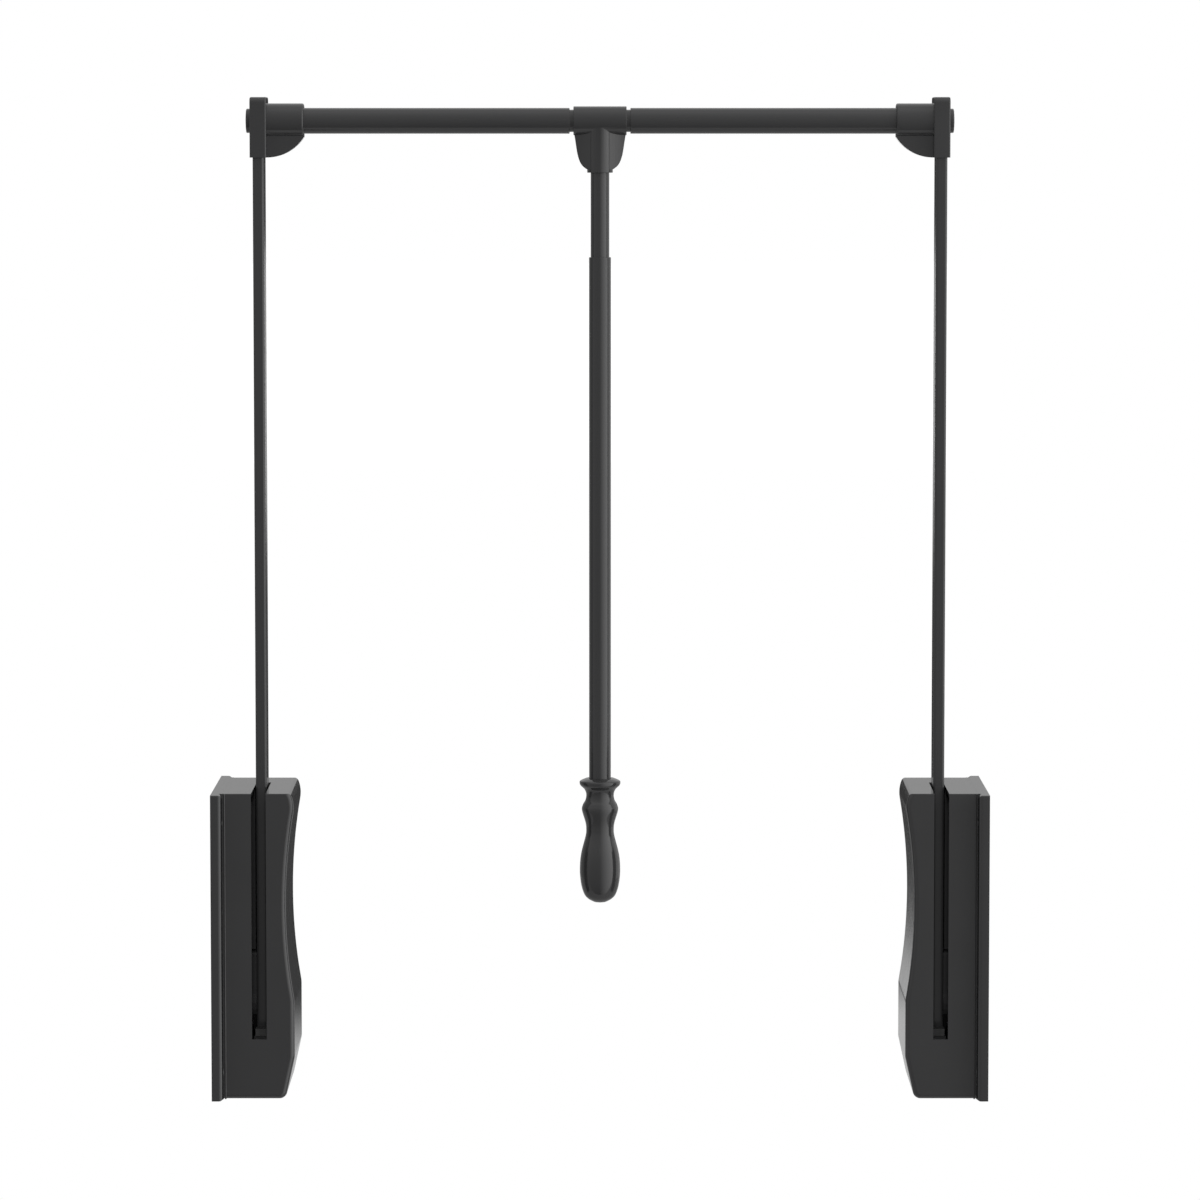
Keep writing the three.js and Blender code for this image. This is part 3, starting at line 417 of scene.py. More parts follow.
def shaded(mesh):
    """Smooth faces, with an edge left sharp where it turns by more than an angle."""
    solid = bmesh.new()
    solid.from_mesh(mesh)
    bmesh.ops.dissolve_degenerate(solid, edges=solid.edges, dist=TOUCHING)
    for face in solid.faces:
        face.smooth = True
        face.material_index = 0
    for edge in solid.edges:
        edge.smooth = len(edge.link_faces) == 2 and edge.calc_face_angle(0.0) < SHARP
    solid.to_mesh(mesh)
    solid.free()
    return mesh


def piece(name, mesh, finish, body, *nodes, weighted=True):
    """Finished piece that stands for solids of the frame and moves with their body."""
    item = placed(name, shaded(mesh))
    if weighted:
        even = item.modifiers.new("Even shading", "WEIGHTED_NORMAL")
        even.keep_sharp = True
        even.weight = 80
        item.data = evaluated(item)
        item.modifiers.clear()
    item.data.name = name
    item.data.materials.clear()
    item.data.materials.append(material(finish))
    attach(item, body)
    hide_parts(*nodes)
    return item


def both_sides(name, mesh, finish, body, *nodes, **options):
    """A piece on the right side and its mirror image on the left one."""
    made = []
    for side, shape in zip(SIDES, (mirrored(mesh), mesh)):
        own = [f"{side}_{node}" for node in nodes or [name]]
        made.append(piece(f"{side}_{name}_shape", shape, finish, f"{side}_{body}", *own, **options))
    return made


# Node trees, written as sums


def sum_of(operation, reflected=False):
    """Method that adds a Math node for a wire and another value, which is the first where reflected."""
    def method(wire, other):
        values = (other, wire) if reflected else (wire, other)
        return wire.tree.add("ShaderNodeMath", {"operation": operation}, *values)
    return method


class Wire:
    """Output of a node. Python's sums on it add Math nodes."""

    def __init__(self, tree, socket):
        self.tree = tree
        self.socket = socket

    __add__, __radd__ = sum_of("ADD"), sum_of("ADD", reflected=True)
    __sub__, __rsub__ = sum_of("SUBTRACT"), sum_of("SUBTRACT", reflected=True)
    __mul__, __rmul__ = sum_of("MULTIPLY"), sum_of("MULTIPLY", reflected=True)
    __truediv__, __rtruediv__ = sum_of("DIVIDE"), sum_of("DIVIDE", reflected=True)
    at_least = sum_of("MAXIMUM")
    at_most = sum_of("MINIMUM")

    def within(self, least, most):
        """The value, kept between two others."""
        return self.at_least(least).at_most(most)

    def swing(self, by):
        """Noise as a swing about nought."""
        return (self - 0.5) * by


class Tree:
    """Node tree of a material, the world or a set of geometry nodes."""

    def __init__(self, tree):
        self.tree = tree

    def add(self, kind, settings=None, *values, output=0, **named):
        """Node of a type, with its settings first, then the values or wires of its sockets."""
        node = self.tree.nodes.new(kind)
        for key, value in (settings or {}).items():
            if key == "stops":
                self.set_stops(node.color_ramp, value)
            else:
                setattr(node, key, value)
        by_name = ((key.replace("_", " "), value) for key, value in named.items())
        for place, value in [*enumerate(values), *by_name]:
            self.feed(node.inputs[place], value)
        return Wire(self, node.outputs[output]) if node.outputs else node

    def outputs(self, kind, keys, *values):
        """Several outputs of one new node, by their names."""
        node = self.add(kind, {}, *values).socket.node
        return [Wire(self, node.outputs[key]) for key in keys]

    def ramp(self, stops, place):
        """Level of a colour ramp at a place."""
        return self.add("ShaderNodeValToRGB", {"stops": stops}, place)

    def set_stops(self, ramp, stops):
        """Stops of a colour ramp, each a place and a level of grey."""
        first, last = ramp.elements
        first.position, last.position = stops[0][0], stops[-1][0]
        first.color, last.color = (grey(level) for _, level in (stops[0], stops[-1]))
        for place, level in stops[1:-1]:
            ramp.elements.new(place).color = grey(level)

    def feed(self, socket, value):
        """Value or wire of a socket, which None leaves as it is."""
        if isinstance(value, Wire):
            self.tree.links.new(value.socket, socket)
        elif value is not None:
            socket.default_value = value

    def mixed(self, share_of_second, first, second):
        """Colour between two others."""
        node = self.tree.nodes.new("ShaderNodeMix")
        node.data_type = "RGBA"
        for place, value in ((0, share_of_second), (6, first), (7, second)):
            self.feed(node.inputs[place], value)
        return Wire(self, node.outputs[2])

    def noise(self, size, detail=2.0, roughness=0.5, place=None):
        """Soft noise over an object, whose features are about a size across."""
        return self.add("ShaderNodeTexNoise", {}, Vector=place or self.on_object(), Scale=1.0 / size,
                        Detail=detail, Roughness=roughness)

    def on_object(self):
        """Place in the object's own coordinates."""
        return self.add("ShaderNodeTexCoord", {}, output=3)


def grey(level):
    return level, level, level, 1.0


def surface(tree, base, shades, tone, roughness, height, strength, distance, metallic=0.0):
    """Feeds the surface shader with a tone between two shades, a roughness and the bumps of a height."""
    inputs = tree.tree.nodes["Principled BSDF"].inputs
    dark, light = ((*(min(channel * factor, 1.0) for channel in base), 1.0) for factor in shades)
    tree.feed(inputs["Base Color"], tree.mixed(tone, dark, light))
    tree.feed(inputs["Roughness"], roughness)
    bumps = tree.add("ShaderNodeBump", {}, Strength=strength, Distance=distance, Height=height)
    tree.feed(inputs["Normal"], bumps)
    tree.feed(inputs["Metallic"], metallic)


def moulded_plastic(tree, settings):
    """Charcoal plastic with the fine sparked grain of a mould and a faint flow of gloss."""
    pits = tree.noise(settings.grain, 3.0, 0.6)
    flow = tree.noise(0.045)
    surface(tree, settings.plastic, (0.86, 1.14), tone=flow.swing(0.5) + pits.swing(0.5) + 0.5,
            roughness=settings.plastic_gloss + pits.swing(0.09) + flow.swing(0.04),
            height=pits, strength=0.07, distance=0.00006)


def coated_steel(tree, settings):
    """Satin powder coat, with the shallow ripple that it dries with."""
    ripple = tree.noise(0.0022, 1.0, 0.4)
    speck = tree.noise(0.0004)
    cloud = tree.noise(0.06, 1.0)
    surface(tree, settings.coat, (0.9, 1.1), tone=cloud.swing(0.4) + speck.swing(0.3) + 0.5,
            roughness=settings.coat_gloss + speck.swing(0.1) + cloud.swing(0.06),
            height=ripple + speck * 0.25, strength=0.12, distance=0.00012)


def plain_steel(tree, settings):
    """Zinc-plated steel, with a cloudy plating and fine scratches."""
    cloud = tree.noise(0.006, 3.0)
    lengthways = tree.add("ShaderNodeMapping", {}, Vector=tree.on_object(), Scale=(1.0, 1.0, 0.08))
    scratch = tree.noise(0.0003, 2.0, 0.7, lengthways)
    surface(tree, settings.steel, (0.82, 1.05), tone=cloud,
            roughness=0.3 + cloud.swing(0.2) + scratch.swing(0.15),
            height=scratch, strength=0.15, distance=0.00004, metallic=1.0)


def spring_steel(tree, settings):
    """Oil-tempered spring wire, dark and drawn along its length."""
    cloud = tree.noise(0.004, 3.0)
    surface(tree, settings.spring, (0.75, 1.2), tone=cloud, roughness=0.38 + cloud.swing(0.2),
            height=tree.noise(0.0004), strength=0.15, distance=0.00004, metallic=0.9)


def nylon(tree, settings):
    """Natural nylon, a little cloudy."""
    cloud = tree.noise(0.005, 3.0)
    surface(tree, settings.nylon, (0.93, 1.05), tone=cloud, roughness=0.42 + cloud.swing(0.14),
            height=cloud, strength=0.1, distance=0.00005)


def rubber(tree, settings):
    """Matt black rubber, with a dusty bloom."""
    grain = tree.noise(0.0007, 3.0)
    surface(tree, settings.rubber, (0.8, 1.8), tone=tree.noise(0.008), roughness=0.8 + grain.swing(0.2),
            height=grain, strength=0.3, distance=0.00008)


FINISHES = {make.__name__: make for make in (
    moulded_plastic, coated_steel, plain_steel, spring_steel, nylon, rubber)}


def material(name):
    """Finish of that name, made when it is first asked for."""
    finish = bpy.data.materials.get(f"{name}_finish")
    if not finish:
        finish = bpy.data.materials.new(f"{name}_finish")
        finish.use_nodes = True
        FINISHES[name](Tree(finish.node_tree), bpy.context.scene.closet_rod_finishes)
    return finish


# Shapes of the lift's pieces, with the lesser sizes in metres

BUSH_LAP = 0.0017  # width of a pivot bush's flange outside its seat
BUSH_FLANGE = 0.0018  # thickness of that flange
BOSS_WALL = 0.004  # wall of a boss round a bush's seat
BOSS_EDGE = 0.0005
SEAT_FLOOR = 0.0022  # what the plate keeps behind a seat
RIB = 0.0035  # thickness of the ribs under the buffers
RIB_REACH = 0.006  # how far the ribs reach past the arm's middle
GUIDE_FLANGE_DEPTH = 0.0025
SCREW_NECK = 0.002  # radius of a plate screw's hole
SCREW_SINK = 0.004  # radius of the sink for its head
SCREW_BOSS = 0.0055  # radius of the cover's boss round such a screw
SCREW_BOSS_DEPTH = 0.028
HOLES = {"pivot_shaft": 0.0063, "crank_rivet": 0.0028, "bracket_bolt": 0.0033}  # radii of the arm's holes
BOLT_COVER_ROOF = 0.0012
BOLT_COVER_FOOT_EDGE = 0.0003
ROD_CORE = 0.00945  # radius of the rod's inner tube
PIN_HOLE = 0.0018  # radius of the hole for the connector's pin
GROOVE_DEPTH = 0.0016  # depth of the groove that the pin runs in
GROOVE_PLAY = 0.0004  # play of the pin in its groove, on each side
FIN_EDGE = 0.0008
TEE_BOSS_EDGE = 0.0004
GRIP_RADIUS = 0.0175
COVER_SCREWS = ("cover_screw_front_lower", "cover_screw_front_upper", "cover_screw_rear_lower",
                "cover_screw_rear_upper")
SCREWS = (*COVER_SCREWS, "spring_seat_screw")


def bush_seat(node):
    """Middle and radius of the blind seat of a pivot bush."""
    lower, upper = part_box(node)
    return (0.0, 0.0, middle(node).z), (upper.z - lower.z) / 2 - BUSH_LAP


def screw_hole(node):
    """Countersunk hole for a screw of the frame."""
    head_height = bpy.context.scene.closet_rod_springs.screw_head_height
    lower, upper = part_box(f"right_{node}")
    place = middle(f"right_{node}")
    neck = SCREW_NECK + FIT
    profile = [(0.0, lower.x - FIT), (neck, lower.x - FIT), (neck, upper.x - head_height),
               (SCREW_SINK + FIT + OVER, upper.x + OVER), (0.0, upper.x + OVER)]
    return lathe(profile, "X", (0.0, place.y, place.z), TINY)


def plate_mesh(sizes):
    """Mounting plate, rounded towards the housing, with wall holes and a blind seat for the pivot."""
    lower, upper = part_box("right_mounting_plate")
    cover_low, cover_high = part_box("right_housing_cover")
    inner_x = upper.x - sizes.plate_thickness
    face = oblong(lower.y, 0.0, upper.y, upper.z, sizes.plate_corner)
    slab = prism(face, inner_x, upper.x, "X", sizes.plate_edge, ends=(True, False), steps=6)
    behind_cover = block((inner_x, cover_low.y, 0.0), (upper.x, cover_high.y, upper.z))
    pivot, seat = bush_seat("right_outer_pivot_bush")
    boss = eased_bar(seat + BOSS_WALL, lower.x, inner_x + OVER, "X", (BOSS_EDGE, 0.0), pivot, EVEN)
    tools = [bar(seat, lower.x - OVER, upper.x - SEAT_FLOOR, "X", pivot)]
    sink = sizes.wall_hole_head - sizes.wall_hole
    wall_hole = [(0.0, inner_x - OVER), (sizes.wall_hole_head + OVER, inner_x - OVER),
                 (sizes.wall_hole, inner_x + sink), (sizes.wall_hole, upper.x + OVER), (0.0, upper.x + OVER)]
    for y in (lower.y + sizes.wall_hole_inset, upper.y - sizes.wall_hole_inset):
        for z in (sizes.wall_hole_rise, upper.z - sizes.wall_hole_rise):
            tools.append(lathe(wall_hole, "X", (0.0, y, z), SMALL))
    tools += [screw_hole(node) for node in SCREWS]
    return cut(joined(slab, behind_cover, boss), *tools)


def cover_outline(sizes, top_corner, inset=0.0, rise=0.0):
    """Front view of a housing cover, drawn in by a wall and raised at its top, running on past the plate."""
    lower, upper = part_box("right_housing_cover")
    outer_x = upper.x + BEYOND
    top = upper.z - inset + rise
    waist_x = lower.x + sizes.waist_sag - sizes.waist_radius
    brow_x = lower.x + sizes.brow_radius
    apart = sizes.waist_radius + sizes.brow_radius
    lean = math.acos((brow_x - waist_x) / apart)
    brow_z = sizes.waist_height + apart * math.sin(lean)
    reach, swell = sizes.waist_radius + inset, sizes.brow_radius - inset
    straight_x = lower.x + inset
    crest = -math.acos((straight_x - waist_x) / reach)
    over = math.asin((top - brow_z) / swell)
    waist_steps, brow_steps, spare = 36, 14, 3  # the spare steps leave room for the corner at an arc's end
    turns = [crest + (lean - crest) * step / waist_steps for step in range(spare, waist_steps + 1)]
    waist = [(waist_x + reach * math.cos(turn), sizes.waist_height + reach * math.sin(turn), 0.0)
             for turn in turns]
    turns = [(over + lean) * step / brow_steps - lean for step in range(1, brow_steps - spare)]
    brow = [(brow_x - swell * math.cos(turn), brow_z + swell * math.sin(turn), 0.0) for turn in turns]
    peak = (brow_x - swell * math.cos(over), top, top_corner)
    waist_end = (straight_x, sizes.waist_height + reach * math.sin(crest), sizes.crest_corner)
    hip = (straight_x, sizes.hip_height, sizes.hip_corner)
    foot = (lower.x + sizes.foot_setback + inset, inset, sizes.foot_corner)
    return eased([(outer_x, top, 0.0), peak, *brow[::-1], *waist[::-1], waist_end, hip, foot,
                  (outer_x, inset, 0.0)], 8)


def cover_mesh(sizes):
    """Waisted housing cover, open to the plate and slotted for the arm, with its ribs, guide and bosses."""
    lower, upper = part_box("right_housing_cover")
    wall = sizes.cover_wall
    far = 2 * BEYOND
    face_corner = sizes.face_corner + sizes.cover_edge
    rounded = prism(cover_outline(sizes, face_corner, rise=sizes.cover_edge), lower.y, upper.y,
                    "Y", sizes.cover_edge, steps=7)
    topped = prism(cover_outline(sizes, sizes.top_corner), lower.y, upper.y,
                   "Y", sizes.cover_top_edge, steps=3)
    plate_x = high("right_mounting_plate").x - sizes.plate_thickness - sizes.seam
    wall_side = block((lower.x - far, lower.y, 0.0), (plate_x, upper.y, upper.z + far))
    outside = common(rounded, topped, wall_side)
    hollow = prism(cover_outline(sizes, sizes.top_corner - wall, inset=wall), lower.y + wall,
                   upper.y - wall, "Y", sizes.cover_edge - wall, steps=4)
    pivot, seat = bush_seat("right_inner_pivot_bush")
    bush_low, bush_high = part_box("right_inner_pivot_bush")
    boss_x = bush_high.x - BUSH_FLANGE
    rest_low, rest_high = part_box("right_rest_buffer")
    stop_low, stop_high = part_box("right_lower_buffer")
    arm_x = middle("right_arm_tube").x
    ribs_in, ribs_out = lower.x - sizes.waist_sag, arm_x + RIB_REACH
    inside = [
        bar(seat + BOSS_WALL, lower.x, boss_x, "X", pivot),
        block((ribs_in, rest_high.y + FIT, rest_low.z - RIB),
              (ribs_out, rest_high.y + FIT + RIB, rest_high.z + RIB)),
        block((ribs_in, stop_low.y, stop_low.z - FIT - RIB),
              (ribs_out, stop_high.y, stop_low.z - FIT)),
    ]
    half = sizes.slot_width / 2
    guide_x = arm_x + half + FIT / 2
    guide_run = upper.y - sizes.guide_front
    for depth, width in ((guide_run, sizes.guide), (GUIDE_FLANGE_DEPTH, sizes.guide_flange)):
        inside.append(block((guide_x, sizes.guide_front, sizes.guide_foot),
                            (guide_x + width, sizes.guide_front + depth, upper.z)))
    for node in COVER_SCREWS:
        place = middle(f"right_{node}")
        boss_y = math.copysign(upper.y - wall - SCREW_BOSS / 2, place.y)
        inside.append(bar(SCREW_BOSS, upper.x - SCREW_BOSS_DEPTH, upper.x, "X",
                          (0.0, boss_y, place.z), SMALL))
    fittings = common(joined(*inside), outside.copy())
    bead_x = upper.x - sizes.bead_inset
    beads = [bar(sizes.bead_radius, lower.z, upper.z, "Z", (bead_x, y, 0.0), BEAD_STEPS)
             for y in (lower.y, upper.y)]
    shell = joined(cut(outside, hollow), fittings, *beads)
    slot = block((arm_x - half, lower.y - far, sizes.slot_floor),
                 (arm_x + half, lower.y + sizes.slot_run, upper.z + far))
    seat_hole = bar(seat, bush_low.x - FIT, boss_x + OVER, "X", pivot)
    return cut(shell, slot, seat_hole, *[screw_hole(node) for node in COVER_SCREWS])


def arm_mesh(sizes):
    """Flat-sided tube with holes for the pivot, the crank's rivet and the bracket's bolt."""
    lower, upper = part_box("right_arm_tube")
    wall = sizes.tube_wall
    outside = prism(oblong(lower.x, lower.y, upper.x, upper.y, sizes.tube_corner), lower.z, upper.z, "Z")
    inner_corner = sizes.tube_corner / 4
    bore = prism(oblong(lower.x + wall, lower.y + wall, upper.x - wall, upper.y - wall, inner_corner),
                 lower.z - BEYOND, upper.z + BEYOND, "Z")
    holes = []
    for node, radius in HOLES.items():
        place = middle(f"right_{node}")
        holes.append(bar(radius, lower.x - BEYOND, upper.x + BEYOND, "X", (0.0, place.y, place.z), SMALL))
    return cut(outside, bore, *holes)


def bracket_mesh(sizes):
    """Cap over the arm's end, with a socket for the rod and a quarter-round gusset under it."""
    lower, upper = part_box("right_rod_bracket")
    arm_low, arm_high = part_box("right_arm_tube")
    rod_high = high("right_rod_outer_tube")
    rod_z = middle("right_rod_outer_tube").z
    on_rod = (0.0, 0.0, rod_z)
    cap_x = upper.x - sizes.cap_thickness
    foot_z = lower.z - sizes.cap_thickness
    corner = sizes.cap_top_corner
    face = eased([(lower.y, foot_z, 0.0), (upper.y, foot_z, 0.0), (upper.y, upper.z, corner),
                  (lower.y, upper.z, corner)], 8)
    cap = prism(face, cap_x, upper.x, "X", sizes.cap_edge, steps=4)
    cap = cut(cap, block((cap_x - BEYOND, lower.y - BEYOND, foot_z - BEYOND),
                         (upper.x + BEYOND, upper.y + BEYOND, lower.z)))
    arm_x = (arm_low.x + arm_high.x) / 2
    socket = eased_bar(sizes.socket_radius, lower.x, arm_x, "X", (sizes.socket_edge, 0.0), on_rod,
                       EVEN, arc=5)
    radius = sizes.gusset_radius
    arc_z = lower.z + radius
    furthest = math.asin(min((cap_x - lower.x) / radius, 1.0))
    count = 28
    turns = [-math.pi / 2 - furthest * step / count for step in range(count, -1, -1)]
    arc = [(cap_x + radius * math.cos(turn), arc_z + radius * math.sin(turn)) for turn in turns]
    half = sizes.gusset_thickness / 2
    face = [Vector(point) for point in [(arm_x, lower.z), (arm_x, rod_z), (lower.x, rod_z), *arc]]
    gusset = prism(face, -half, half, "Y")
    bore = bar(rod_high.y + FIT, lower.x - OVER, rod_high.x + FIT, "X", on_rod, EVEN)
    pocket = block((arm_low.x - FIT, arm_low.y - FIT, lower.z - OVER),
                   (arm_high.x + FIT, arm_high.y + FIT, arm_high.z + FIT))
    hole = bar(HOLES["bracket_bolt"], lower.x, upper.x + OVER, "X", on_rod, SMALL)
    return cut(joined(cap, socket, gusset), bore, pocket, hole)


def bolt_cover_mesh(sizes):
    """Crowned disc over the bracket's bolt."""
    lower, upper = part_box("right_bolt_cover")
    radius = upper.y
    rim_x = upper.x - sizes.cover_crown
    roof_x = upper.x - BOLT_COVER_ROOF
    hollow = high("right_bracket_bolt").y + FIT
    count = 10
    crown = [(radius * (1 - k / count), rim_x + sizes.cover_crown * (1 - (1 - k / count) ** 2))
             for k in range(1, count + 1)]
    rim = eased([(hollow, lower.x, 0.0), (radius, lower.x, BOLT_COVER_FOOT_EDGE),
                 (radius, rim_x, sizes.cover_edge), (*crown[0], 0.0)], 6)
    profile = [*rim, *crown[1:], (0.0, roof_x), (hollow, roof_x)]
    return lathe(profile, "X", (0.0, 0.0, middle("right_bolt_cover").z), ring=True)


# Edge of the connector's fins, in shares of its half width and of its drop below the rod
FLANK_SHARES = ((0.965, 0.27), (0.925, 0.4), (0.867, 0.595), (0.823, 0.693), (0.757, 0.79), (0.668, 0.862),
                (0.571, 0.907), (0.485, 0.936))
# Outline of the grip from its foot up, in shares of its radius and its height
GRIP_SHARES = (
    (0.3, 0.008), (0.58, 0.033), (0.78, 0.072), (0.93, 0.152), (0.99, 0.265), (0.93, 0.392),
    (0.71, 0.536), (0.675, 0.591), (0.714, 0.647), (0.886, 0.744), (0.834, 0.791), (0.714, 0.827),
    (0.674, 0.871), (0.76, 0.912), (0.96, 0.945), (1.0, 0.967), (0.96, 0.982), (0.714, 1.0),
)


def tee_mesh(sizes):
    """Sleeve round the rod, with fins that taper down to a boss round the handle."""
    lower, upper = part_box("handle_tee")
    rod_z = middle("rod_inner_tube").z
    on_rod = (0.0, 0.0, rod_z)
    half = upper.x
    drop = rod_z - lower.z
    sleeve = eased_bar(sizes.sleeve_radius, -half, half, "X", (sizes.sleeve_edge, sizes.sleeve_edge), on_rod)
    flank = smooth_through([(half * width, rod_z - drop * fall) for width, fall in FLANK_SHARES], 5)
    left = [Vector((-point.x, point.y)) for point in flank]
    front = prism([*left, *flank[::-1], Vector((flank[0].x, rod_z)), Vector((-flank[0].x, rod_z))],
                  -sizes.sleeve_radius, sizes.sleeve_radius, "Y")
    fin, shoulder, reach = sizes.fin_thickness / 2, sizes.shoulder_thickness / 2, sizes.shoulder_reach
    count, swell = 6, 1.5  # steps from a fin's edge to the boss, and how late it thickens on the way
    curve = [(half + (reach - half) * step / count, fin + (shoulder - fin) * (step / count) ** swell, 0.0)
             for step in range(1, count + 1)]
    quarter = [(half, 0.0, 0.0), (half, fin, FIN_EDGE), *curve]
    behind = [*quarter, *[(-x, y, radius) for x, y, radius in reversed(quarter)]]
    plan = eased([*behind, *[(x, -y, radius) for x, y, radius in reversed(behind[1:-1])]], 5)
    fins = common(front, prism(plan, lower.z, rod_z, "Z"))
    boss = eased_bar(sizes.boss_radius, lower.z, rod_z, "Z", (TEE_BOSS_EDGE, 0.0))
    groove = high("tee_pin").x + GROOVE_PLAY
    return cut(
        joined(sleeve, fins, boss),
        bar(sizes.sleeve_bore, -half - OVER, half + OVER, "X", on_rod, EVEN),
        bar(sizes.sleeve_bore + GROOVE_DEPTH, -groove, groove, "X", on_rod, EVEN),
        bar(high("handle_upper_tube").y + FIT, lower.z - OVER, lower.z + sizes.socket_depth, "Z", steps=EVEN),
    )


def grip_mesh(sizes):
    """Turned grip with a bore for the lower tube."""
    lower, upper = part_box("handle_grip")
    height = upper.z - lower.z
    swell = smooth_through([(GRIP_RADIUS * wide, lower.z + height * tall) for wide, tall in GRIP_SHARES], 6)
    bore_z = upper.z - sizes.grip_bore_depth
    profile = [(0.0, lower.z), *swell, (sizes.grip_bore, upper.z), (sizes.grip_bore, bore_z), (0.0, bore_z)]
    return lathe(profile, "Z", steps=FINE)


# Operators, one for each piece or group of like pieces


class CLOSETROD_OT_plates(bpy.types.Operator):
    """Mounting plates"""

    bl_idname = "closetrod.plates"
    bl_label = "Mounting Plates"

    def execute(self, context):
        mesh = plate_mesh(context.scene.closet_rod_housing)
        both_sides("mounting_plate", mesh, "moulded_plastic", "housing")
        return {"FINISHED"}


class CLOSETROD_OT_covers(bpy.types.Operator):
    """Housing covers"""

    bl_idname = "closetrod.covers"
    bl_label = "Housing Covers"

    def execute(self, context):
        mesh = cover_mesh(context.scene.closet_rod_housing)
        both_sides("housing_cover", mesh, "moulded_plastic", "housing")
        return {"FINISHED"}


class CLOSETROD_OT_arms(bpy.types.Operator):
    """Lift arms"""

    bl_idname = "closetrod.arms"
    bl_label = "Lift Arms"

    def execute(self, context):
        mesh = arm_mesh(context.scene.closet_rod_arms)
        both_sides("arm_tube", mesh, "coated_steel", "arm")
        return {"FINISHED"}


class CLOSETROD_OT_brackets(bpy.types.Operator):
    """Rod brackets and the covers over their bolts"""

    bl_idname = "closetrod.brackets"
    bl_label = "Rod Brackets"

    def execute(self, context):
        sizes = context.scene.closet_rod_arms
        both_sides("rod_bracket", bracket_mesh(sizes), "moulded_plastic", "arm")
        both_sides("bolt_cover", bolt_cover_mesh(sizes), "moulded_plastic", "arm")
        return {"FINISHED"}


class CLOSETROD_OT_rod(bpy.types.Operator):
    """Rod: its two outer tubes and the inner tube between them"""

    bl_idname = "closetrod.rod"
    bl_label = "Rod"

    def execute(self, context):
        sizes = context.scene.closet_rod_rod
        lower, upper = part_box("right_rod_outer_tube")
        centre = (0.0, 0.0, (lower.z + upper.z) / 2)
        outer = tube(upper.y, sizes.outer_wall, lower.x, upper.x, "X", sizes.rod_edge, centre)
        both_sides("rod_outer_tube", outer, "coated_steel", "arm")
        lower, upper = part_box("rod_inner_tube")
        inner = tube(ROD_CORE, sizes.inner_wall, lower.x, upper.x, "X", sizes.rod_edge, centre)
        pin = bar(PIN_HOLE, -2 * BEYOND, 2 * BEYOND, "Y", centre, TINY)
        piece("rod_inner_tube_shape", cut(inner, pin), "coated_steel", "rod_core", "rod_inner_tube")
        return {"FINISHED"}


class CLOSETROD_OT_connector(bpy.types.Operator):
    """Connector between the rod and the pull handle"""

    bl_idname = "closetrod.connector"
    bl_label = "Connector"

    def execute(self, context):
        mesh = tee_mesh(context.scene.closet_rod_rod)
        piece("handle_tee_shape", mesh, "moulded_plastic", "pull_handle", "handle_tee")
        return {"FINISHED"}


class CLOSETROD_OT_handle(bpy.types.Operator):
    """Pull handle: its two tubes and the turned grip"""

    bl_idname = "closetrod.handle"
    bl_label = "Pull Handle"

    def execute(self, context):
        sizes = context.scene.closet_rod_rod
        for node, wall, body in (("handle_upper_tube", sizes.upper_wall, "pull_handle"),
                                 ("handle_lower_tube", sizes.lower_wall, "handle_slider")):
            lower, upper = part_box(node)
            mesh = tube(upper.y, wall, lower.z, upper.z, "Z", sizes.rod_edge)
            piece(f"{node}_shape", mesh, "coated_steel", body, node)
        piece("handle_grip_shape", grip_mesh(sizes), "moulded_plastic", "handle_slider", "handle_grip")
        return {"FINISHED"}


def geometry_tree(name, inputs):
    """Geometry nodes with named inputs of a socket type each."""
    group = bpy.data.node_groups.new(name, "GeometryNodeTree")
    group.interface.new_socket("Geometry", in_out="OUTPUT", socket_type="NodeSocketGeometry")
    for label, kind in inputs.items():
        group.interface.new_socket(label, in_out="INPUT", socket_type=f"NodeSocket{kind}")
    source = group.nodes.new("NodeGroupInput")
    tree = Tree(group)
    return group, tree, {label: Wire(tree, source.outputs[label]) for label in inputs}


def given_out(tree, geometry, finish):
    """Ends geometry nodes, with every instance made real and in its finish."""
    real = tree.add("GeometryNodeRealizeInstances", {}, geometry)
    tree.add("NodeGroupOutput", {}, tree.add("GeometryNodeSetMaterial", {}, real, None, finish))


def moved(tree, geometry, rise, **others):
    """Geometry moved along Z."""
    shift = tree.add("ShaderNodeCombineXYZ", {}, 0.0, 0.0, rise)
    return tree.add("GeometryNodeTransform", {}, geometry, Translation=shift, **others)


def swept(tree, line, sides, radius):
    """Round wire along a line."""
    section = tree.add("GeometryNodeCurvePrimitiveCircle", {"mode": "RADIUS"}, sides, Radius=radius)
    return tree.add("GeometryNodeCurveToMesh", {}, line, section, Fill_Caps=True)


def grown(name, group, values):
    """Plain mesh that a set of geometry nodes makes from the values of its inputs."""
    carrier = placed(name, bpy.data.meshes.new(name))
    nodes = carrier.modifiers.new(name, "NODES")
    nodes.node_group = group
    for item in group.interface.items_tree:
        if item.in_out == "INPUT":
            nodes[item.identifier] = values[item.name]
    result = evaluated(carrier)
    bpy.data.objects.remove(carrier)
    return result


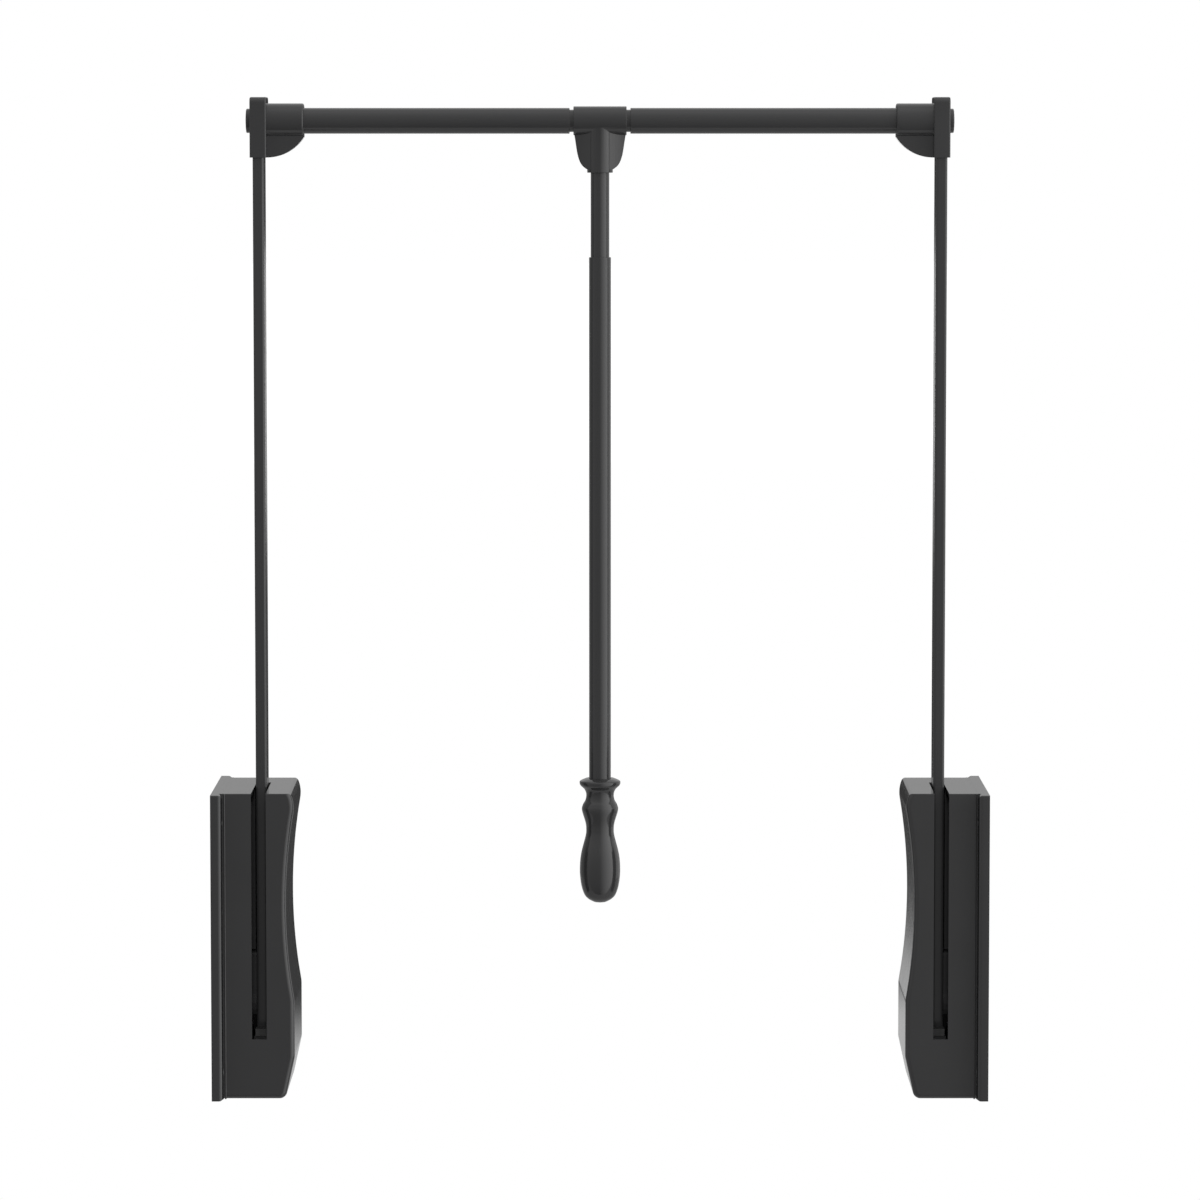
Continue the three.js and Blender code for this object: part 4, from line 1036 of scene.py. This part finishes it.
def spring_nodes():
    """Coil spring: a helix, drawn together at both ends, with wire swept along it."""
    group, tree, given = geometry_tree("Coil spring", {
        "Curls": "Float", "Coil radius": "Float", "Wire radius": "Float", "Length": "Float",
        "Closed share": "Float", "Material": "Material",
    })
    curls, radius, wire = given["Curls"], given["Coil radius"], given["Wire radius"]
    closed_share = given["Closed share"]
    points_per_curl = 48
    helix = tree.add("GeometryNodeCurveSpiral", {}, points_per_curl, curls, radius, radius, 1.0, False)
    x, y, z = tree.outputs("ShaderNodeSeparateXYZ", "XYZ", tree.add("GeometryNodeInputPosition"))
    closed_rise = wire * 2.1 * curls  # a closed curl rises by a little more than its wire is thick
    first = z.at_most(closed_share) * closed_rise
    last = (z - (1.0 - closed_share)).at_least(0.0) * closed_rise
    working = (z - closed_share).within(0.0, 1.0 - 2.0 * closed_share)
    run = given["Length"] - wire * 2.0 - closed_share * closed_rise * 2.0
    height = first + last + working * run / (1.0 - 2.0 * closed_share) + wire
    drawn = tree.add("ShaderNodeCombineXYZ", {}, x, y, height)
    coiled = tree.add("GeometryNodeSetPosition", {}, helix, None, drawn)
    given_out(tree, swept(tree, coiled, 14, wire), given["Material"])
    return group


class CLOSETROD_OT_springs(bpy.types.Operator):
    """Balance springs, built at one length; in the real lift they shorten as it comes down"""

    bl_idname = "closetrod.springs"
    bl_label = "Balance Springs"

    def execute(self, context):
        sizes = context.scene.closet_rod_springs
        lower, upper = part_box("right_balance_spring")
        closed_curls = 2
        mesh = grown("spring", spring_nodes(), {
            "Curls": float(sizes.curls + closed_curls),
            "Coil radius": (upper.x - lower.x) / 2 - sizes.wire_radius, "Wire radius": sizes.wire_radius,
            "Length": upper.z - lower.z, "Closed share": sizes.closed_share,
            "Material": material("spring_steel"),
        })
        mesh.transform(Matrix.Translation(((lower.x + upper.x) / 2, (lower.y + upper.y) / 2, lower.z)))
        springs = both_sides("balance_spring", mesh, "spring_steel", "housing", weighted=False)
        for spring, side in zip(springs, SIDES):
            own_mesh(spring)
        return {"FINISHED"}


TIP = 0.003  # length of a plate screw's point
CORE_SHARE, RIDGE_SHARE = 0.82, 0.18  # core and half height of its thread, in shares of the shank's radius
TURN_SEED = 5  # for the turn at which each screw stopped


def screw_nodes():
    """Countersunk screws with rolled threads, one on each point, each stopped at a turn of its own."""
    group, tree, given = geometry_tree("Plate screws", {
        "Places": "Object", "Grip": "Float", "Radius": "Float", "Head radius": "Float",
        "Head height": "Float", "Socket radius": "Float", "Pitch": "Float", "Turn seed": "Int",
        "Material": "Material",
    })
    grip, radius, head, head_height = (given[key] for key in ("Grip", "Radius", "Head radius", "Head height"))
    core = radius * CORE_SHARE
    sides, hexagon = 24, 6
    over = (math.pi, 0.0, 0.0)
    shank_length = grip - head_height
    straight = shank_length - TIP
    shank = tree.add("GeometryNodeMeshCylinder", {}, sides, 1, 1, core, straight)
    shank = moved(tree, shank, straight * -0.5 - head_height)
    tip = tree.add("GeometryNodeMeshCone", {}, sides, 1, 1, core, 0.0, TIP)
    tip = moved(tree, tip, head_height * -1.0 - shank_length + TIP, Rotation=over)
    cone = tree.add("GeometryNodeMeshCone", {}, 32, 1, 1, head, core, head_height)
    cone = tree.add("GeometryNodeTransform", {}, cone, Rotation=over)
    recess = tree.add("GeometryNodeMeshCylinder", {}, hexagon, 1, 1, given["Socket radius"], head_height)
    drilled = tree.add("GeometryNodeMeshBoolean", {"operation": "DIFFERENCE"}, cone, recess)
    rolled = tree.add("GeometryNodeCurveSpiral", {}, 16, straight / given["Pitch"], core, core,
                      straight * -1.0, False)
    thread = swept(tree, moved(tree, rolled, head_height * -1.0), 4, radius * RIDGE_SHARE)
    screw = tree.add("GeometryNodeJoinGeometry", {}, drilled)
    for part in (shank, tip, thread):
        tree.feed(screw.socket.node.inputs[0], part)
    in_wall = tree.add("GeometryNodeTransform", {}, screw, Rotation=(0.0, math.pi / 2, 0.0))
    places = tree.add("GeometryNodeObjectInfo", {}, given["Places"], output=4)
    turn = tree.add("FunctionNodeRandomValue", {"data_type": "FLOAT"}, None, None, None, math.tau, output=1,
                    Seed=given["Turn seed"])
    spread = tree.add("GeometryNodeInstanceOnPoints", {}, places, Instance=in_wall,
                      Rotation=tree.add("ShaderNodeCombineXYZ", {}, turn, 0.0, 0.0))
    given_out(tree, spread, given["Material"])
    return group


class CLOSETROD_OT_screws(bpy.types.Operator):
    """Screws that hold the covers and the spring seats on the plates"""

    bl_idname = "closetrod.screws"
    bl_label = "Plate Screws"

    def execute(self, context):
        sizes = context.scene.closet_rod_springs
        heads = [(high(f"right_{node}").x, *middle(f"right_{node}").yz) for node in SCREWS]
        cloud = bpy.data.meshes.new("screw_places")
        cloud.from_pydata(heads, [], [])
        places = placed("screw_places", cloud)
        mesh = grown("screws", screw_nodes(), {
            "Places": places, "Grip": sizes.screw_grip, "Radius": sizes.screw_radius,
            "Head radius": sizes.screw_head, "Head height": sizes.screw_head_height,
            "Socket radius": sizes.screw_socket, "Pitch": sizes.thread_pitch, "Turn seed": TURN_SEED,
            "Material": material("plain_steel"),
        })
        bpy.data.objects.remove(places)
        both_sides("plate_screws", mesh, "plain_steel", "housing", *SCREWS, weighted=False)
        return {"FINISHED"}


class CLOSETROD_OT_works(bpy.types.Operator):
    """Finishes of the works inside the housings, the brackets and the handle"""

    bl_idname = "closetrod.works"
    bl_label = "Works Inside"

    def execute(self, context):
        slots = {part["node"]: part["material_slot"] for part in frame["record"]["subparts"]}
        for node, item in frame["nodes"].items():
            if not item.hide_render:
                item.data.materials.clear()
                item.data.materials.append(material(slots[node]))
        return {"FINISHED"}


# Screens behind the lift, from below the horizon to above it, which its inner sides reflect at a glancing
# angle. A stop is a place, which is twice the sine of the rise plus a half, and a level. The first screens
# reach right across, the strip stands straight behind the lift, and the last screen a little to its left.
SCREENS = ((0.0, 0.25), (0.06, 0.6), (0.176, 0.6), (0.194, 0.05), (0.58, 0.05), (0.62, 0.49),
           (0.8, 0.49), (1.0, 0.8))
STRIP = ((0.335, 0.0), (0.378, 1.0), (0.45, 1.0), (0.459, 0.0))
BESIDE = ((0.2, 0.0), (0.214, 1.0), (0.25, 1.0), (0.265, 0.0))
# Where they begin and end, as sines of the turn aside. From its start on, a plain wing takes over.
STRIP_END, BESIDE_START, BESIDE_END, WING_START = 0.095, 0.073, 0.15, 0.3
BESIDE_LEVEL = 0.7
CRISP, LESS_CRISP, SOFT = 40.0, 30.0, 6.0  # how steeply a screen's edge rises
TILT, TILT_END = 0.15, 0.06  # slope of the first screens, and how far it runs to each side
WHITE = (1.0, 1.0, 1.0, 1.0)
PAPER = (0.4, 0.44)  # darkest and palest grey of the floor
PAPER_GLOW, PAPER_REFLECTED = 0.7, 0.1  # its glow, as a share of the sky, and what a reflection shows of it
KEY_PLACE, KEY_WIDTH = (3.3, -1.2, 1.3), 1.6
FILL_PLACE, FILL_WIDTH = (0.0, -4.6, 1.9), 0.6
LAMP_AIM = (0.0, 0.0, 0.45)


def rays(tree):
    """Whether a ray comes from the camera, and whether it was reflected or let through."""
    seen, glossy, through = tree.outputs("ShaderNodeLightPath", (
        "Is Camera Ray", "Is Glossy Ray", "Is Transmission Ray"))
    return seen, glossy.at_least(through)


def aimed(item, place, target):
    """Puts a lamp or a camera in its place and points it at a target."""
    item.location = place
    item.rotation_euler = (Vector(target) - item.location).to_track_quat("-Z", "Y").to_euler()
    return item


class CLOSETROD_OT_stage(bpy.types.Operator):
    """Pale floor, soft studio light and the camera"""

    bl_idname = "closetrod.stage"
    bl_label = "Stage"

    def execute(self, context):
        scene = context.scene
        sizes = scene.closet_rod_stage
        self.lay_floor(sizes)
        self.light_world(scene, sizes)
        self.hang_lamp("key_light", KEY_PLACE, KEY_WIDTH, sizes.key_power)
        self.hang_lamp("fill_light", FILL_PLACE, FILL_WIDTH, sizes.fill_power)
        self.set_camera(scene, sizes)
        scene.view_settings.view_transform = "Standard"
        return {"FINISHED"}

    def lay_floor(self, sizes):
        """Grey paper that glows white to the camera, so that it ends nowhere in the picture."""
        run, front, z = sizes.floor_run, -sizes.floor_front, cad_box[0][2] - sizes.floor_drop
        mesh = bpy.data.meshes.new("floor")
        corners = [(-run, front, z), (run, front, z), (run, run, z), (-run, run, z)]
        mesh.from_pydata(corners, [], [(0, 1, 2, 3)])
        floor = placed("floor", mesh)
        paper = bpy.data.materials.new("floor_paper")
        paper.use_nodes = True
        tree = Tree(paper.node_tree)
        shader = paper.node_tree.nodes["Principled BSDF"]
        shader.inputs["Roughness"].default_value = 0.9
        shader.inputs["Specular IOR Level"].default_value = 0.1
        fibre = tree.noise(0.02, 4.0)
        tree.feed(shader.inputs["Base Color"], tree.mixed(fibre, *map(grey, PAPER)))
        seen, reflected = rays(tree)
        bare = Wire(tree, shader.outputs[0])
        glow = tree.add("ShaderNodeEmission", {}, WHITE, sizes.sky * PAPER_GLOW)
        both = tree.add("ShaderNodeAddShader", {}, bare, glow)
        chosen = tree.add("ShaderNodeMixShader", {}, seen.at_least(reflected * PAPER_REFLECTED), bare, both)
        tree.feed(paper.node_tree.nodes["Material Output"].inputs[0], chosen)
        mesh.materials.append(paper)

    def light_world(self, scene, sizes):
        """Dim room with a bright right side, and screens behind the lift, all white to the camera."""
        world = bpy.data.worlds.new("studio")
        world.use_nodes = True
        scene.world = world
        tree = Tree(world.node_tree)
        way = tree.add("ShaderNodeTexCoord", {}, output=0)
        side, depth, rise = tree.outputs("ShaderNodeSeparateXYZ", "XYZ", way)
        seen, reflected = rays(tree)
        place = rise * 2.0 + 0.5
        tilted = side.within(-TILT_END, TILT_END) * TILT + place
        aside = side.at_least(side * -1.0)
        strip = tree.ramp(STRIP, place) * ((STRIP_END - aside) * CRISP).within(0.0, 1.0)
        near = ((side * -1.0 - BESIDE_START) * CRISP).at_least(0.0)
        far = ((side + BESIDE_END) * LESS_CRISP).within(0.0, BESIDE_LEVEL)
        beside = tree.ramp(BESIDE, place) * near.at_most(far)
        across = (strip + tree.ramp(SCREENS, tilted)).at_least(beside)
        wing = ((aside - WING_START) * SOFT).within(0.0, 1.0)
        # The wings are brighter on the right. In front of the lift the screens give way to the room, which is
        # brighter towards its back and its top, and glows on the right and very faintly on the left.
        screens = (side * 0.25 + 0.55) * wing + across * (1.0 - wing)
        behind = (depth * 3.0 + 0.6).within(0.0, 1.0)
        room = (depth * 0.5 + 0.5) * (sizes.sky - sizes.room) + sizes.room
        glow = side.at_least(side * -0.06) * sizes.glow
        level = (room * (rise * 0.7 + 0.8) + glow) * (1.0 - behind) + screens * behind * sizes.sky
        back = world.node_tree.nodes["Background"]
        back.inputs["Color"].default_value = WHITE
        tree.feed(back.inputs["Strength"], level.at_least(reflected * behind * screens).at_least(seen))

    def hang_lamp(self, name, place, width, watts):
        """Round lamp that lights without being reflected."""
        data = bpy.data.lights.new(name, "AREA")
        data.shape = "DISK"
        data.size = width
        data.energy = watts
        aimed(placed(name, data), place, LAMP_AIM).visible_glossy = False

    def set_camera(self, scene, sizes):
        """Long lens in front of the lift, pointed down a little."""
        data = bpy.data.cameras.new("camera")
        data.lens = sizes.lens
        data.sensor_width = data.sensor_height = 36.0
        data.sensor_fit = "HORIZONTAL"
        data.clip_end = 100.0
        scene.camera = aimed(placed("camera", data), (0.0, -sizes.camera_distance, sizes.camera_height),
                             (0.0, cad_box[0][1], sizes.aim_height))


class CLOSETROD_PT_panel(bpy.types.Panel):
    """Pieces of the closet rod and their sizes"""

    bl_idname = "CLOSETROD_PT_panel"
    bl_label = "Closet Rod"
    bl_space_type = "VIEW_3D"
    bl_region_type = "UI"
    bl_category = "Closet Rod"

    def draw(self, context):
        for operator in OPERATORS:
            self.layout.operator(operator.bl_idname)
        for name, group in SETTINGS.items():
            box = self.layout.box()
            for key in group.__annotations__:
                box.prop(getattr(context.scene, name), key)


SETTINGS = {
    "closet_rod_housing": HousingSizes, "closet_rod_arms": ArmSizes, "closet_rod_rod": RodSizes,
    "closet_rod_springs": SpringSizes, "closet_rod_finishes": Finishes, "closet_rod_stage": StageSizes,
}
OPERATORS = (
    CLOSETROD_OT_stage, CLOSETROD_OT_plates, CLOSETROD_OT_covers, CLOSETROD_OT_arms, CLOSETROD_OT_brackets,
    CLOSETROD_OT_rod, CLOSETROD_OT_connector, CLOSETROD_OT_handle, CLOSETROD_OT_springs, CLOSETROD_OT_screws,
    CLOSETROD_OT_works,
)
CLASSES = (*SETTINGS.values(), *OPERATORS, CLOSETROD_PT_panel)


def register():
    for cls in CLASSES:
        bpy.utils.register_class(cls)
    for name, group in SETTINGS.items():
        setattr(bpy.types.Scene, name, PointerProperty(type=group))


def unregister():
    for name in SETTINGS:
        delattr(bpy.types.Scene, name)
    for cls in reversed(CLASSES):
        bpy.utils.unregister_class(cls)


def main():
    register()
    bpy.ops.closetrod.stage()
    bpy.ops.closetrod.plates()
    bpy.ops.closetrod.covers()
    bpy.ops.closetrod.arms()
    bpy.ops.closetrod.brackets()
    bpy.ops.closetrod.rod()
    bpy.ops.closetrod.connector()
    bpy.ops.closetrod.handle()
    bpy.ops.closetrod.springs()
    bpy.ops.closetrod.screws()
    bpy.ops.closetrod.works()


if __name__ == "__main__":
    main()
